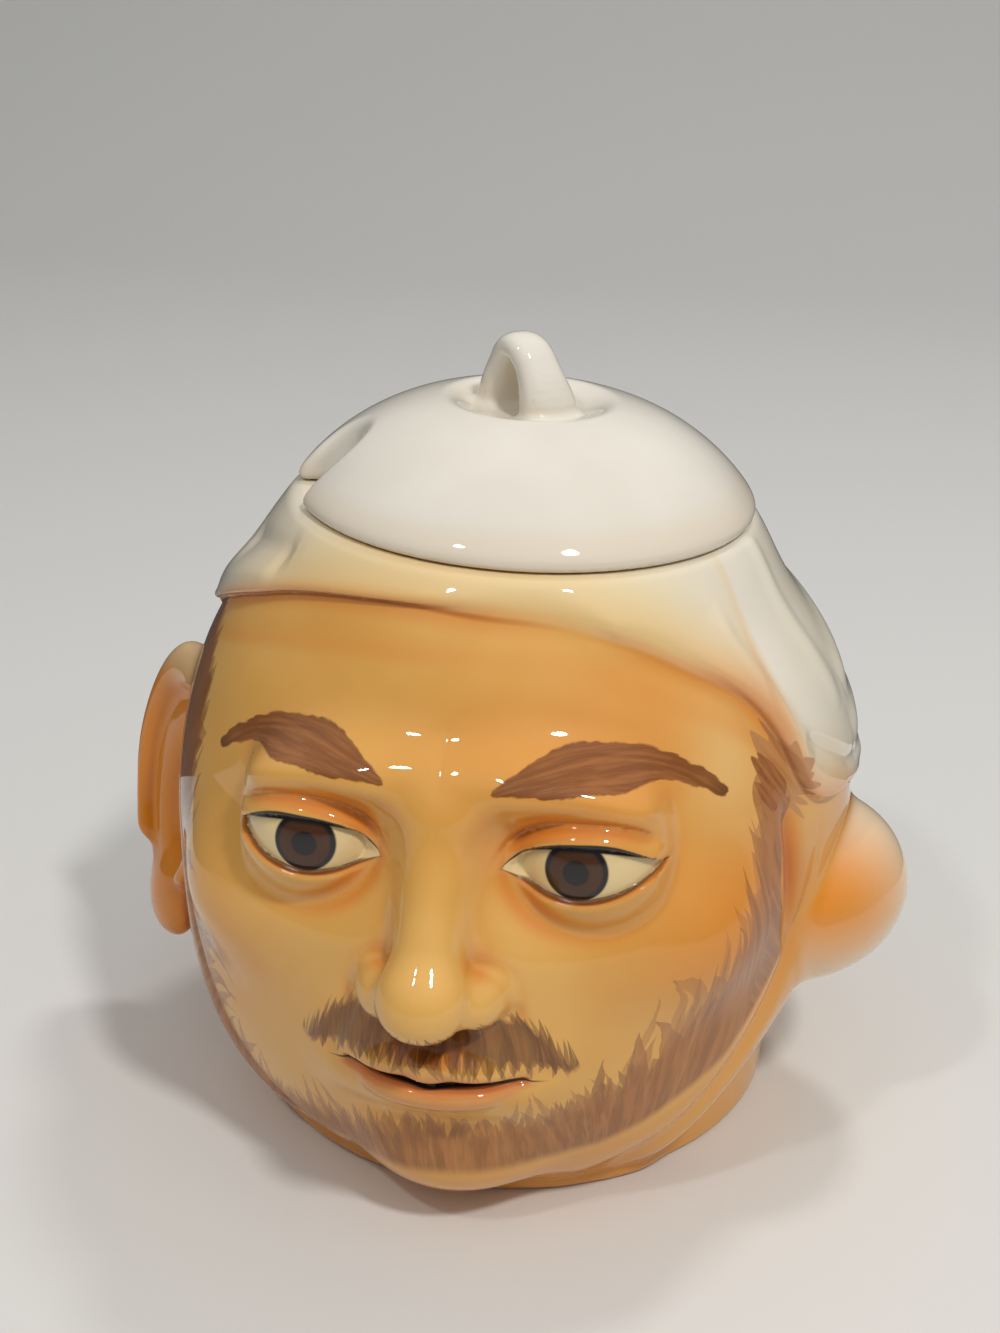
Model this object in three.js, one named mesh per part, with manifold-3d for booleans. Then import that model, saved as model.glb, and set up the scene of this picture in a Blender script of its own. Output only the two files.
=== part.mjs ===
// Glazed head condiment jar: the crown of the kerchief lifts off as the lid.
// Millimetres, +Z up. The base rests at z = 0, the face looks along -Y,
// and +X is the right-hand side of someone who looks at the face.
import * as THREE from "three";
import { mergeVertices } from "three/addons/utils/BufferGeometryUtils.js";
import Module from "manifold-3d";

const wasm = await Module();
wasm.setup();

// Overall sizes
const HEAD_WIDTH = 93;
const HEAD_DEPTH = 90; // without the nose
const RIM_HEIGHT = 85; // the middle of the flat rim that the lid rests on
const RIM_TILT = 2.5; // degrees that the rim and the lid slope down to the knot's side
const FOOT_DIAMETER = 73;
const LID_DIAMETER = 61.3;
const CROWN_RISE = 14.2; // from the rim to the top of the dome, before the dish is sunk in it
const LOOP_RISE = 7.8; // from the top of the dome to the top of the loop

// Walls and fits
const WALL = 4.2;
const FLOOR = 5;
const CLOTH = 1.3; // how far the kerchief stands off the skin
const SHOULDER = 1.2; // how much flatter the kerchief's shoulder is than an ellipse
const RIM_LAND = 4.8; // ring of the lid outside the mouth, which rests on the rim
const COLLAR_FIT = 1; // all round between the collar and the mouth
const COLLAR_WALL = 2.8;
const COLLAR_DROP = 5;
const JOIN_GAP = 0.3; // between pieces that follow each other's skin
const REST_GAP = 0.03; // between flat faces that lie on each other
const EDGE = 1.1; // rounding of the rim and of the foot

// Spoon notch and loop
const NOTCH_WIDTH = 9.2;
const NOTCH_DEPTH = 9.4; // in from the edge of the lid
const NOTCH_TURN = 200; // degrees from +X
const LOOP_TURN = -43; // degrees from +X to the front foot of the loop
const LOOP_LEAN = 9; // degrees that the loop leans to the front left
const LOOP_SPREAD = 4.2; // from the middle of the loop to the middle of a foot
const STRAP_WIDTH = 6.4;
const STRAP_THICKNESS = 4.2;
const DISH_RADIUS = 10.5;
const DISH_DEPTH = 2.4;

// Ear: degrees that it stands off the head, and that its top leans back and in
const EAR_STAND = 44;
const EAR_LEAN = 10;
const EAR_CANT = 8;

// Places that follow from the sizes above
const LID_X = 1.2; // the lid sits this far to the right of the middle of the head
const FOOT_Y = 3.2; // the foot sits behind the chin
const CHEEK_HEIGHT = 0.4706 * RIM_HEIGHT;
const JAW_DROP = 0.529 * RIM_HEIGHT;
const NAPE_DROP = 0.3035 * RIM_HEIGHT;
const LID_RADIUS = LID_DIAMETER / 2;
const RIM_SLOPE = Math.tan((RIM_TILT * Math.PI) / 180);
const MOUTH_RADIUS = LID_RADIUS - RIM_LAND;

// The features are placed on a head of these proportions and stretch with it
const WIDE = HEAD_WIDTH / 93;
const DEEP = HEAD_DEPTH / 90;
const TALL = RIM_HEIGHT / 85;

// Lower edge of the kerchief: degrees round from the face, and height
const CLOTH_EDGE = [
  [-180, 33], [-150, 37], [-125, 47], [-102, 62], [-79, 70], [-66, 73.6], [-55, 76.1],
  [-42, 78.6], [-28, 80.2], [-12, 81], [4, 80.5], [20, 79.4], [34, 76.6], [46, 72.6],
  [56, 68.6], [61.5, 63.5], [64.5, 56.5], [70, 52.8], [82, 51], [96, 48], [120, 39.5],
  [150, 34], [180, 33],
];

// Folds of the kerchief, drawn to the knot: degrees round from the face, and height
const CLOTH_FOLDS = [
  { width: 1.9, rise: 0.75, line: [[55, 79], [58, 74], [61, 69], [64, 63.5], [68, 58.5]] },
  { width: 1.3, rise: -0.7, line: [[66, 62], [74, 58], [82, 54.5], [93, 52]] },
  { width: 2, rise: -0.9, line: [[-78, 78.5], [-68, 80], [-58, 81], [-47, 82.2]] },
  { width: 2.8, rise: 0.7, line: [[-100, 68], [-80, 74.8], [-64, 77.6], [-50, 79.6]] },
  { width: 2.4, rise: 0.6, line: [[80, 85], [80, 77], [82, 69], [84, 61]] },
  { width: 2.6, rise: 0.7, line: [[88, 56], [112, 60], [140, 63], [168, 64]] },
  { width: 2.6, rise: 0.7, line: [[90, 62], [112, 70], [138, 76], [160, 78]] },
  { width: 2.6, rise: 0.6, line: [[92, 51], [118, 49], [146, 48], [170, 49]] },
  { width: 2.8, rise: 0.7, line: [[-172, 56], [-145, 57], [-122, 62], [-104, 70]] },
  { width: 2.4, rise: 0.6, line: [[-172, 70], [-146, 71], [-126, 75], [-110, 80]] },
];
const ROUND = 0.8; // millimetres along the skin for one degree round the head

// The eye, the landmark that the lids and the socket are built round
const EYE = { x: 16.6, y: -34.6, z: 53.4, radius: 9.4, reach: 9.4, above: 3.9, below: 2.9 };

const clamp = (v, low, high) => Math.min(Math.max(v, low), high);
const radians = (degrees) => (degrees * Math.PI) / 180;
const bump = (distance, width) => Math.exp(-((distance / width) ** 2));

function ease(from, to, v) {
  const t = clamp((v - from) / (to - from), 0, 1);
  return t * t * (3 - 2 * t);
}

// Distances are negative inside. These join or cut two of them with a soft corner.
function join(a, b, soft) {
  const h = clamp(0.5 + (0.5 * (b - a)) / soft, 0, 1);
  return b + (a - b) * h - soft * h * (1 - h);
}
const both = (a, b, soft) => -join(-a, -b, soft);
const cut = (a, b, soft) => both(a, -b, soft);

// Distance to an ellipsoid that is turned by degrees about X, then Y, then Z
function ellipsoid(p, centre, radii, turn = [0, 0, 0]) {
  let [x, y, z] = [p[0] - centre[0], p[1] - centre[1], p[2] - centre[2]];
  const spin = (a, b, degrees) => {
    const s = Math.sin(radians(degrees));
    const c = Math.cos(radians(degrees));
    return [c * a + s * b, c * b - s * a];
  };
  if (turn[0]) [y, z] = spin(y, z, turn[0]);
  if (turn[1]) [x, z] = spin(x, z, turn[1]);
  if (turn[2]) [x, y] = spin(x, y, turn[2]);
  const near = Math.hypot(x / radii[0], y / radii[1], z / radii[2]);
  const steep = Math.hypot(x / radii[0] ** 2, y / radii[1] ** 2, z / radii[2] ** 2);
  return (near * (near - 1)) / Math.max(steep, 1e-6);
}

// Distance to a round bar that changes from one radius to another
function bar(p, from, to, radiusFrom, radiusTo) {
  const along = from.map((v, i) => to[i] - v);
  const away = p.map((v, i) => v - from[i]);
  const length2 = along.reduce((sum, v) => sum + v * v, 0);
  const t = clamp(away.reduce((sum, v, i) => sum + v * along[i], 0) / length2, 0, 1);
  const gap = Math.hypot(...away.map((v, i) => v - t * along[i]));
  return gap - radiusFrom - (radiusTo - radiusFrom) * t;
}

// Height of the kerchief's edge, a smooth curve through its points
function clothEdge(angle) {
  const pts = CLOTH_EDGE;
  const last = pts.length - 1;
  let i = pts.findIndex((p) => p[0] > angle) - 1;
  if (i < 0) i = last - 1;
  const slope = (j) => {
    const before = j === 0 ? [pts[last - 1][0] - 360, pts[last - 1][1]] : pts[j - 1];
    const after = j === last ? [pts[1][0] + 360, pts[1][1]] : pts[j + 1];
    return (after[1] - before[1]) / (after[0] - before[0]);
  };
  const span = pts[i + 1][0] - pts[i][0];
  const t = (angle - pts[i][0]) / span;
  const rise = ease(0, 1, t);
  const lead = (t * (1 - t) ** 2 * slope(i) - t * t * (1 - t) * slope(i + 1)) * span;
  return TALL * (pts[i][1] * (1 - rise) + pts[i + 1][1] * rise + lead);
}

// Radius of the plain head at an angle from the face and a height
function plainRadius(angle, height) {
  const s = Math.sin(angle);
  const c = Math.cos(angle);
  const rim = LID_RADIUS - CLOTH - 0.2;
  const z = height + RIM_SLOPE * rim * s * ease(CHEEK_HEIGHT, RIM_HEIGHT, height);
  const oval = 1 / Math.hypot((2 * s) / HEAD_WIDTH, (2 * c) / HEAD_DEPTH);
  const turn = -12 - 13 * s; // the jaw is fuller on the ear's side
  const back = ease(turn - 14, turn + 14, (-c * HEAD_DEPTH) / 2);
  const drop = JAW_DROP + (NAPE_DROP - JAW_DROP) * back;
  const below = clamp(1 - (Math.max(CHEEK_HEIGHT - z, 0) / drop) ** 3.2, 1e-6, 1) ** 0.31;
  const rimShare = rim / (HEAD_WIDTH / 2);
  const crown = (RIM_HEIGHT - CHEEK_HEIGHT) / Math.sqrt(1 - rimShare ** 2);
  const above = Math.sqrt(clamp(1 - (Math.max(z - CHEEK_HEIGHT, 0) / crown) ** 2, 0, 1));
  const radius = oval * (z > CHEEK_HEIGHT ? above : below);
  const shoulder = (1.5 + 0.5 * s) * bump(z - RIM_HEIGHT + 9, 8.5) * (1 - bump(angle, 0.6));
  const round = LID_X * s + Math.sqrt(rim ** 2 - (LID_X * c) ** 2);
  const share = ease(RIM_HEIGHT - 22, RIM_HEIGHT, z);
  return radius - SHOULDER * shoulder + (round - oval * rimShare) * share;
}

function plainHead(x, y, z) {
  const angle = Math.atan2(x, -y);
  const level = clamp(z, 2, RIM_HEIGHT + 4);
  const here = plainRadius(angle, level);
  const slope = plainRadius(angle, level + 0.5) - plainRadius(angle, level - 0.5);
  return (Math.hypot(x, y) - here) / Math.hypot(1, slope);
}

// Brow, socket and cheek
function browAndCheek(d, p) {
  d = join(d, ellipsoid(p, [0, -12, 37], [31, 35, 33]), 8);
  d = join(d, ellipsoid(p, [24, -29, 40.5], [11, 10, 8]), 8);
  d = join(d, ellipsoid(p, [12.5, -38.2, 61.8], [12.5, 6.6, 4.2], [0, -8, 0]), 5);
  d = join(d, ellipsoid(p, [0, -39, 60], [6, 6, 5]), 4);
  d = cut(d, ellipsoid(p, [16.8, -49.5, 53.2], [11.4, 11, 8], [0, -6, 0]), 5);
  return d + 0.6 * bump(Math.hypot(p[0] - 34, p[2] - 62), 9);
}

function nose(d, p) {
  d = join(d, bar(p, [0, -42.5, 57.5], [0, -50.6, 41.5], 3.2, 4.4), 3.4);
  d = join(d, ellipsoid(p, [0, -51.6, 39.6], [5.6, 5.6, 5]), 2.5);
  d = join(d, ellipsoid(p, [5.9, -47.2, 38.4], [3.5, 5.2, 3.7], [0, 0, -18]), 1.6);
  return cut(d, ellipsoid(p, [3.2, -50.2, 34.6], [1.9, 3, 2.2], [25, 0, 0]), 1.2);
}

// Heights of the two eyelids' edges, and the place across the eye from -1 to 1
function lidLines(x) {
  const t = clamp((x - EYE.x) / EYE.reach, -1.2, 1.2);
  const upper = EYE.z + EYE.above * (1 - Math.abs(t) ** 2.4) + 0.5 * t;
  const lower = EYE.z - EYE.below * (1 - t * t) + 0.5 * t;
  return [upper, lower, t];
}

function eye(d, p, front) {
  const ball = Math.hypot(p[0] - EYE.x, p[1] - EYE.y, p[2] - EYE.z);
  const [upper, lower, t] = lidLines(p[0]);
  const opening = Math.max(p[2] - upper, lower - p[2]);
  const thick = 1.2 * ease(1.2, 0.9, Math.abs(t));
  d = join(d, cut(ball - EYE.radius - thick, opening, 1), 1.6);
  d = join(d, ball - EYE.radius, 0.3);
  return d + 0.55 * bump(p[2] - upper - 2.3, 0.8) * ease(1.15, 0.7, Math.abs(t)) * front;
}

// Height of the line between the lips
function lipLine(x) {
  return 26.9 - 0.5 * Math.min(x / 11, 1.2) ** 2 - 0.35 * bump(x, 2.2);
}

function mouthAndChin(d, p, front) {
  const [x, , z] = p;
  d = join(d, ellipsoid(p, [0, -36.5, 27], [15.5, 12.2, 11]), 6);
  d = join(d, ellipsoid(p, [0, -36, 11.5], [11, 9.8, 7.2]), 6);
  d = join(d, ellipsoid(p, [3.7, -48, 29], [5.6, 2.7, 1.9], [0, -14, 16]), 1.4);
  d = join(d, ellipsoid(p, [0, -48.6, 28.3], [2.6, 2.4, 1.6]), 1.4);
  d = join(d, ellipsoid(p, [0, -47.3, 24.9], [8.4, 3.4, 2.5]), 1.8);
  const corner = bump(Math.hypot(x - 11.6, z - 26.4), 1.7);
  const groove = bump(x, 1.4) * ease(30, 31.2, z) * ease(36, 34, z);
  const underLip = bump(z - 19.2, 2.2) * bump(x, 9);
  const fold = clamp((38 - z) / 12, 0, 1);
  const smile = bump(x - 8.8 - 5.2 * fold, 1.5) * ease(25, 28, z) * ease(40, 37, z);
  d += front * 1.1 * bump(z - lipLine(x), 0.62) * ease(12.2, 10.2, x);
  return d + front * (0.5 * corner + 0.55 * groove + 0.9 * underLip + 0.5 * smile);
}

// Distance above the kerchief's edge, less than 0 below it
function overEdge(angle, z) {
  const rise = clothEdge(Math.min(angle + 1, 180)) - clothEdge(Math.max(angle - 1, -180));
  return (z - clothEdge(angle)) / TALL / Math.hypot(1, rise / TALL / (2 * ROUND));
}

// How far one fold stands out at a place on the unrolled head, fading at its two ends
function foldRise(fold, across, z) {
  let [best, along, run] = [Infinity, 0, 0];
  for (let i = 0; i + 1 < fold.line.length; i++) {
    const [ax, az] = [fold.line[i][0] * ROUND, fold.line[i][1]];
    const [dx, dz] = [fold.line[i + 1][0] * ROUND - ax, fold.line[i + 1][1] - az];
    const length = Math.hypot(dx, dz);
    const k = clamp(((across - ax) * dx + (z - az) * dz) / length ** 2, 0, 1);
    const gap = Math.hypot(across - ax - k * dx, z - az - k * dz);
    if (gap < best) [best, along] = [gap, run + k * length];
    run += length;
  }
  return fold.rise * bump(best, fold.width) * ease(-1.5, 4, Math.min(along, run - along));
}

// The kerchief: a raised skin above its edge, with soft folds drawn to the knot
function kerchief(d, plain, x, y, z) {
  const angle = (Math.atan2(x, -y) * 180) / Math.PI;
  const over = overEdge(angle, z);
  const folds = CLOTH_FOLDS.reduce((sum, f) => sum + foldRise(f, angle * ROUND, z / TALL), 0);
  const cloth = both(plain - CLOTH, -over, 1) - folds * ease(0.2, 3, over);
  return join(d, cloth, 0.5);
}

function neck(x, y, z) {
  const side = Math.hypot(x, y - FOOT_Y) - FOOT_DIAMETER / 2 - 0.06 * z;
  return both(side, z - NAPE_DROP, 6);
}

// The crease that runs under the jaw from below the ear to the chin
function jawCrease(x, y, z) {
  const angle = Math.abs((Math.atan2(x, -y) * 180) / Math.PI);
  const line = 3 + 31 * Math.max((angle - 20) / 42, 0) ** 2.1;
  return bump((z / TALL - line) * 0.7, 2.1) * ease(72, 60, angle) * ease(24, 36, angle);
}

// The groove between the edge of the face and the knot
function sideSeam(x, y, z) {
  const angle = (Math.atan2(x, -y) * 180) / Math.PI;
  return 0.9 * bump((angle - 61) * ROUND, 1.3) * ease(33, 38, z / TALL) * ease(56, 51, z / TALL);
}

// Distance to the outer skin of the head
function head(x, y, z) {
  const plain = plainHead(x, y, z);
  const p = [Math.abs(x) / WIDE, y / DEEP, z / TALL];
  const front = ease(-30, -38, p[1]);
  let d = browAndCheek(plain, p);
  d = mouthAndChin(d, p, front);
  d = nose(d, p);
  d = eye(d, p, front);
  d = join(d, neck(x, y, z), 2.5) + 0.9 * jawCrease(x, y, z) + sideSeam(x, y, z);
  return kerchief(d, plain, x, y, z);
}

// Farthest point of a form along a line, found by stepping in and then halving the step
function farthest(inside, from, to, step) {
  let high = from;
  while (high > to && inside(high - step) > 0) high -= step;
  let low = high - step;
  for (let i = 0; i < 14; i++) {
    const middle = (low + high) / 2;
    if (inside(middle) > 0) high = middle;
    else low = middle;
  }
  return high;
}

function skinRadius(angle, z) {
  const [s, c] = [Math.sin(angle), Math.cos(angle)];
  const reach = Math.max(HEAD_WIDTH, HEAD_DEPTH) / 2 + 18;
  return farthest((r) => head(r * s, -r * c, z), reach, 10, 0.7);
}

// One closed surface from a stack of rings with the same number of points.
// The first and the last ring are single points or flat outlines.
function skin(rings) {
  const count = Math.max(...rings.map((ring) => ring.length));
  const points = rings.flat();
  const faces = [];
  const starts = [];
  let total = 0;
  for (const ring of rings) {
    starts.push(total);
    total += ring.length;
  }
  const at = (row, i) => starts[row] + (rings[row].length === 1 ? 0 : i % count);
  for (let row = 0; row + 1 < rings.length; row++) {
    for (let i = 0; i < count; i++) {
      const [a, b] = [at(row, i), at(row, i + 1)];
      const [c, d] = [at(row + 1, i + 1), at(row + 1, i)];
      const near = new THREE.Vector3(...points[a]).distanceTo(new THREE.Vector3(...points[c]));
      const far = new THREE.Vector3(...points[b]).distanceTo(new THREE.Vector3(...points[d]));
      if (near <= far) faces.push([a, b, c], [a, c, d]);
      else faces.push([a, b, d], [b, c, d]);
    }
  }
  const kept = faces.filter(([a, b, c]) => a !== b && b !== c && a !== c);
  return geometryOf(points.flat(), kept.flat());
}

function geometryOf(positions, index) {
  const geometry = new THREE.BufferGeometry();
  geometry.setAttribute("position", new THREE.Float32BufferAttribute(positions, 3));
  geometry.setIndex(index);
  return geometry;
}

// A manifold solid that faces out, for joining and cutting
function solid(geometry) {
  const bare = geometry.clone();
  bare.deleteAttribute("normal");
  bare.deleteAttribute("uv");
  const merged = mergeVertices(bare, 1e-4);
  const triVerts = new Uint32Array(merged.index.array);
  const vertProperties = new Float32Array(merged.attributes.position.array);
  const make = () => new wasm.Manifold(new wasm.Mesh({ numProp: 3, vertProperties, triVerts }));
  const made = make();
  if (made.volume() > 0) return made;
  for (let i = 0; i < triVerts.length; i += 3) {
    [triVerts[i], triVerts[i + 1]] = [triVerts[i + 1], triVerts[i]];
  }
  return make();
}

function geometry(manifold) {
  const mesh = manifold.getMesh();
  return geometryOf([...mesh.vertProperties], [...mesh.triVerts]);
}

// Angles round the head: close together over the face, wider towards the back
function anglesRound() {
  const angles = [];
  const sector = (from, to, count) => {
    for (let i = 0; i < count; i++) angles.push(radians(from + ((to - from) * i) / count));
  };
  sector(-180, -92, 7);
  sector(-92, -38, 8);
  sector(-38, 38, 37);
  sector(38, 54, 5);
  sector(54, 72, 8);
  sector(72, 100, 5);
  sector(100, 180, 6);
  return angles;
}

// Rows up the middle of the face, closer where the lips and the eyelids turn: [height, rows to it]
function faceLevels() {
  const bands = [
    [8, 3], [17, 4], [25.2, 4], [28.6, 5], [36, 5], [44, 4],
    [49.7, 3], [51.3, 2], [56.5, 3], [58.1, 2], [64, 4], [80, 4],
  ];
  const levels = [];
  let from = 1.2;
  for (const [to, count] of bands) {
    for (let i = 0; i < count; i++) levels.push(from + ((to - from) * i) / count);
    from = to;
  }
  return levels;
}

// Where the rows that mark the lips and the eyelids run at one angle: pairs of heights
function landmarks(degrees) {
  const across = (z) => (skinRadius(radians(degrees), z) * Math.abs(Math.sin(radians(degrees)))) / WIDE;
  const [upper, lower] = lidLines(across(EYE.z * TALL));
  const beside = ease(1, 1.7, Math.abs(across(EYE.z * TALL) - EYE.x) / EYE.reach);
  const middle = (upper + lower) / 2;
  const high = Math.max(upper, middle + 1);
  const low = Math.min(lower, middle - 1);
  const [restLow, restHigh] = [EYE.z - EYE.below, EYE.z + EYE.above];
  return [
    [0, 0], [22, 22], [26.9, lipLine(across(26.9 * TALL))], [32, 32], [45, 45],
    [restLow, low + (restLow - low) * beside], [restHigh, high + (restHigh - high) * beside],
    [64, 64], [80, 80],
  ];
}

// Height of the sloping rim at a distance to the right of the middle
const rimAt = (x) => RIM_HEIGHT - RIM_SLOPE * x;

// Heights of the skin's rows at one angle; the upper ones close up under the kerchief's edge
function rowHeights(degrees) {
  const marks = landmarks(degrees);
  const edge = clothEdge(degrees) - 0.4;
  const knee = Math.min(64 * TALL, edge - 9);
  const moved = (level) => {
    const i = marks.findLastIndex((m) => m[0] <= level);
    const [[from, a], [to, b]] = [marks[i], marks[i + 1]];
    const z = a + ((b - a) * (level - from)) / (to - from);
    return z <= 64 ? (z * knee) / 64 : knee + ((edge - knee) * (z - 64)) / 16;
  };
  const top = rimAt(LID_X + LID_RADIUS * Math.sin(radians(degrees))) - EDGE;
  const cloth = [0, 0.12, 0.3, 0.48, 0.66, 0.84, 1].map((t) => edge + 1.1 + (top - edge - 1.1) * t);
  return [...faceLevels().map(moved), edge, ...cloth];
}

// Outer skin from the base to the rim, set off outwards by a gap
function outerRings(gap) {
  const angles = anglesRound();
  const heights = angles.map((a) => rowHeights((a * 180) / Math.PI));
  const place = (a, r, z) => [r * Math.sin(a), -r * Math.cos(a), z];
  const row = (k) => angles.map((a, i) => place(a, skinRadius(a, heights[i][k]) + gap, heights[i][k]));
  const rows = heights[0].map((_, k) => row(k));
  const inset = (ring, by, level) =>
    ring.map(([x, y]) => {
      const share = 1 - by / Math.hypot(x, y);
      return [x * share, y * share, level(x * share)];
    });
  const base = inset(rows[0], EDGE, () => 0);
  const rim = inset(rows.at(-1), EDGE, rimAt);
  return [[[0, FOOT_Y, 0]], base, ...rows, rim];
}

// Distance to the hollow: the plain head and neck less the wall, held back behind the face
function hollow(x, y, z) {
  const inner = join(plainHead(x, y, z), neck(x, y, z), 6) + WALL;
  return both(inner, -y - HEAD_DEPTH / 2 + WALL + 5.5, 12);
}

function hollowRadius(angle, z) {
  const [s, c] = [Math.sin(angle), Math.cos(angle)];
  return farthest((r) => hollow(r * s, -r * c, z), HEAD_WIDTH / 2, 5, 0.7);
}

// The inside: the mouth, the shoulder under it, the wall and the floor
function innerRings() {
  const angles = anglesRound();
  const mouth = (r, drop) =>
    angles.map((a) => {
      const x = LID_X + r * Math.sin(a);
      return [x, -r * Math.cos(a), rimAt(x) - drop];
    });
  const depth = RIM_HEIGHT - FLOOR;
  const levels = [0.84, 0.7, 0.5, 0.3, 0.15, 0.05].map((t) => FLOOR + depth * t);
  const ring = (share, z) =>
    angles.map((a) => {
      const r = hollowRadius(a, z) * share;
      return [r * Math.sin(a), -r * Math.cos(a), z];
    });
  return [
    mouth(MOUTH_RADIUS + 0.9, 0),
    mouth(MOUTH_RADIUS, 0.9),
    mouth(MOUTH_RADIUS, 8),
    ...levels.map((z) => ring(1 - 0.08 * ease(FLOOR + 9, FLOOR, z), z)),
    ring(0.84, FLOOR),
    [[0, 0, FLOOR]],
  ];
}

function jarBody() {
  return skin([...outerRings(0), ...innerRings()]);
}

// The head a little larger and without its hollow, to cut what is joined to it
function headCutter() {
  return solid(skin([...outerRings(JOIN_GAP), [[0, 0, RIM_HEIGHT]]]));
}

// Distance to the ear in its own frame: u towards the back, v up, w outwards
function earForm(u, v, w) {
  const half = 12.2 - 3.2 * ease(4.4, -17.8, v);
  const outline = (Math.hypot(u / half, v / 22.2) - 1) * 12.4;
  const plate = both(outline, Math.abs(w - 1) - 2.2, 2.5);
  const rim = both(Math.hypot(outline + 1.4, w - 3) - 2.1, -v - 13.3, 3);
  let d = join(plate, rim, 1.2);
  d = cut(d, ellipsoid([u, v, w], [-1.7, -0.5, 5], [6.3, 12.2, 4.2]), 1.6);
  d = join(d, ellipsoid([u, v, w], [-8.1, -2.2, 1.8], [3, 4.2, 2.6]), 1.2);
  return join(d, ellipsoid([u, v, w], [-1.7, -18.3, 1.5], [5.8, 6.1, 3]), 2);
}

// Rings from the middle of the ear's outer face over its edge to the middle of its inner face
function earRings() {
  const around = [...Array(28).keys()].map((i) => (i / 28) * 2 * Math.PI);
  const reach = around.map((a) =>
    farthest((r) => earForm(r * Math.cos(a), r * Math.sin(a), 1.2), 26, 2, 0.5),
  );
  const sheet = (share, side) =>
    around.map((a, i) => {
      const [u, v] = [reach[i] * share * Math.cos(a), reach[i] * share * Math.sin(a)];
      return [u, v, side * farthest((w) => earForm(u, v, side * w), 9, -3, 0.4)];
    });
  const middle = (side) => [[0, 0, side * farthest((w) => earForm(0, 0, side * w), 9, -3, 0.4)]];
  const edge = around.map((a, i) => [reach[i] * Math.cos(a), reach[i] * Math.sin(a), 1.2]);
  const shares = [0.2, 0.4, 0.55, 0.68, 0.8, 0.9, 0.97];
  return [
    middle(-1),
    ...shares.filter((s) => s > 0.5).map((s) => sheet(s, -1)),
    edge,
    ...shares.toReversed().map((s) => sheet(s, 1)),
    middle(1),
  ];
}

function ear(cutter) {
  const own = skin(earRings());
  const [stand, lean, cant] = [EAR_STAND, EAR_LEAN, EAR_CANT].map(radians);
  const flatOut = new THREE.Vector3(-Math.cos(stand), -Math.sin(stand), 0);
  const back = new THREE.Vector3(-Math.sin(stand), Math.cos(stand), 0);
  const up = new THREE.Vector3(0, 0, 1);
  const rise = up.clone().multiplyScalar(Math.cos(cant)).addScaledVector(flatOut, -Math.sin(cant));
  const out = flatOut.clone().multiplyScalar(Math.cos(cant)).addScaledVector(up, Math.sin(cant));
  const u = back.clone().multiplyScalar(Math.cos(lean)).addScaledVector(rise, Math.sin(lean));
  const v = rise.clone().multiplyScalar(Math.cos(lean)).addScaledVector(back, -Math.sin(lean));
  own.applyMatrix4(new THREE.Matrix4().makeBasis(u, v, out));
  own.translate(-47.2 * WIDE, 0.9 * DEEP, 36.8 * TALL);
  return geometry(largest(solid(own).subtract(cutter)));
}

function scarfKnot(cutter) {
  const own = new THREE.SphereGeometry(1, 24, 15);
  own.rotateX(Math.PI / 2);
  own.scale(16.2, 17.6, 12.3);
  own.rotateY(radians(-8));
  own.translate(38.8 * WIDE, -2.2 * DEEP, 33.6 * TALL);
  return geometry(largest(solid(own).subtract(cutter)));
}

// A cut can leave a crumb behind: keep the piece itself
function largest(manifold) {
  return manifold.decompose().reduce((a, b) => (a.volume() > b.volume() ? a : b));
}

// Half outline of the lid, from the top of the axis out, under the rim and back to the axis
function lidOutline() {
  const crest = RIM_HEIGHT + CROWN_RISE;
  const points = [];
  const step = (r, z) => points.push(new THREE.Vector2(r, z));
  for (const t of [0, 0.5, 0.7, 0.85, 1, 1.15]) step(DISH_RADIUS * t, lidTop(DISH_RADIUS * t));
  for (const t of [0.6, 0.72, 0.81, 0.88, 0.93, 0.965, 0.988]) {
    step(LID_RADIUS * t, lidTop(LID_RADIUS * t));
  }
  const low = RIM_HEIGHT + REST_GAP;
  step(LID_RADIUS, low + 1.7);
  step(LID_RADIUS - 0.25, low + 0.8);
  step(LID_RADIUS - 1.1, low);
  const collar = MOUTH_RADIUS - COLLAR_FIT - COLLAR_WALL;
  step(collar, low);
  for (let i = 1; i <= 6; i++) {
    const a = radians((90 * i) / 6);
    step(collar * Math.cos(a), low + (crest - DISH_DEPTH - WALL - low) * Math.sin(a) ** 0.8);
  }
  return points;
}

// Height of the lid's outer skin at a radius: a domed crown with a shallow dish round the loop
function lidTop(r) {
  const dome = Math.max(1 - (r / (LID_RADIUS + 0.2)) ** 2.6, 0) ** 0.83;
  const dish = DISH_DEPTH * ease(DISH_RADIUS * 1.12, DISH_RADIUS * 0.55, r);
  return RIM_HEIGHT + CROWN_RISE * dome - dish;
}

// The slot that lets a spoon handle through, open at the edge of the lid
function notchCutter() {
  const inner = LID_RADIUS - NOTCH_DEPTH + NOTCH_WIDTH / 2;
  const shape = new THREE.Shape();
  shape.moveTo(LID_RADIUS + 6, -NOTCH_WIDTH / 2);
  shape.lineTo(LID_RADIUS + 6, NOTCH_WIDTH / 2);
  shape.lineTo(inner, NOTCH_WIDTH / 2);
  shape.absarc(inner, 0, NOTCH_WIDTH / 2, Math.PI / 2, (3 * Math.PI) / 2, false);
  const slot = new THREE.ExtrudeGeometry(shape, {
    depth: COLLAR_DROP + CROWN_RISE + 10,
    bevelEnabled: false,
    curveSegments: 12,
  });
  slot.translate(0, 0, RIM_HEIGHT - COLLAR_DROP - 2);
  slot.rotateZ(radians(NOTCH_TURN));
  slot.translate(LID_X, 0, 0);
  return solid(slot);
}

function lidSolid(outline) {
  const turned = new THREE.LatheGeometry(outline, 48);
  turned.rotateX(Math.PI / 2);
  turned.translate(LID_X, 0, 0);
  return solid(turned);
}

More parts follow.
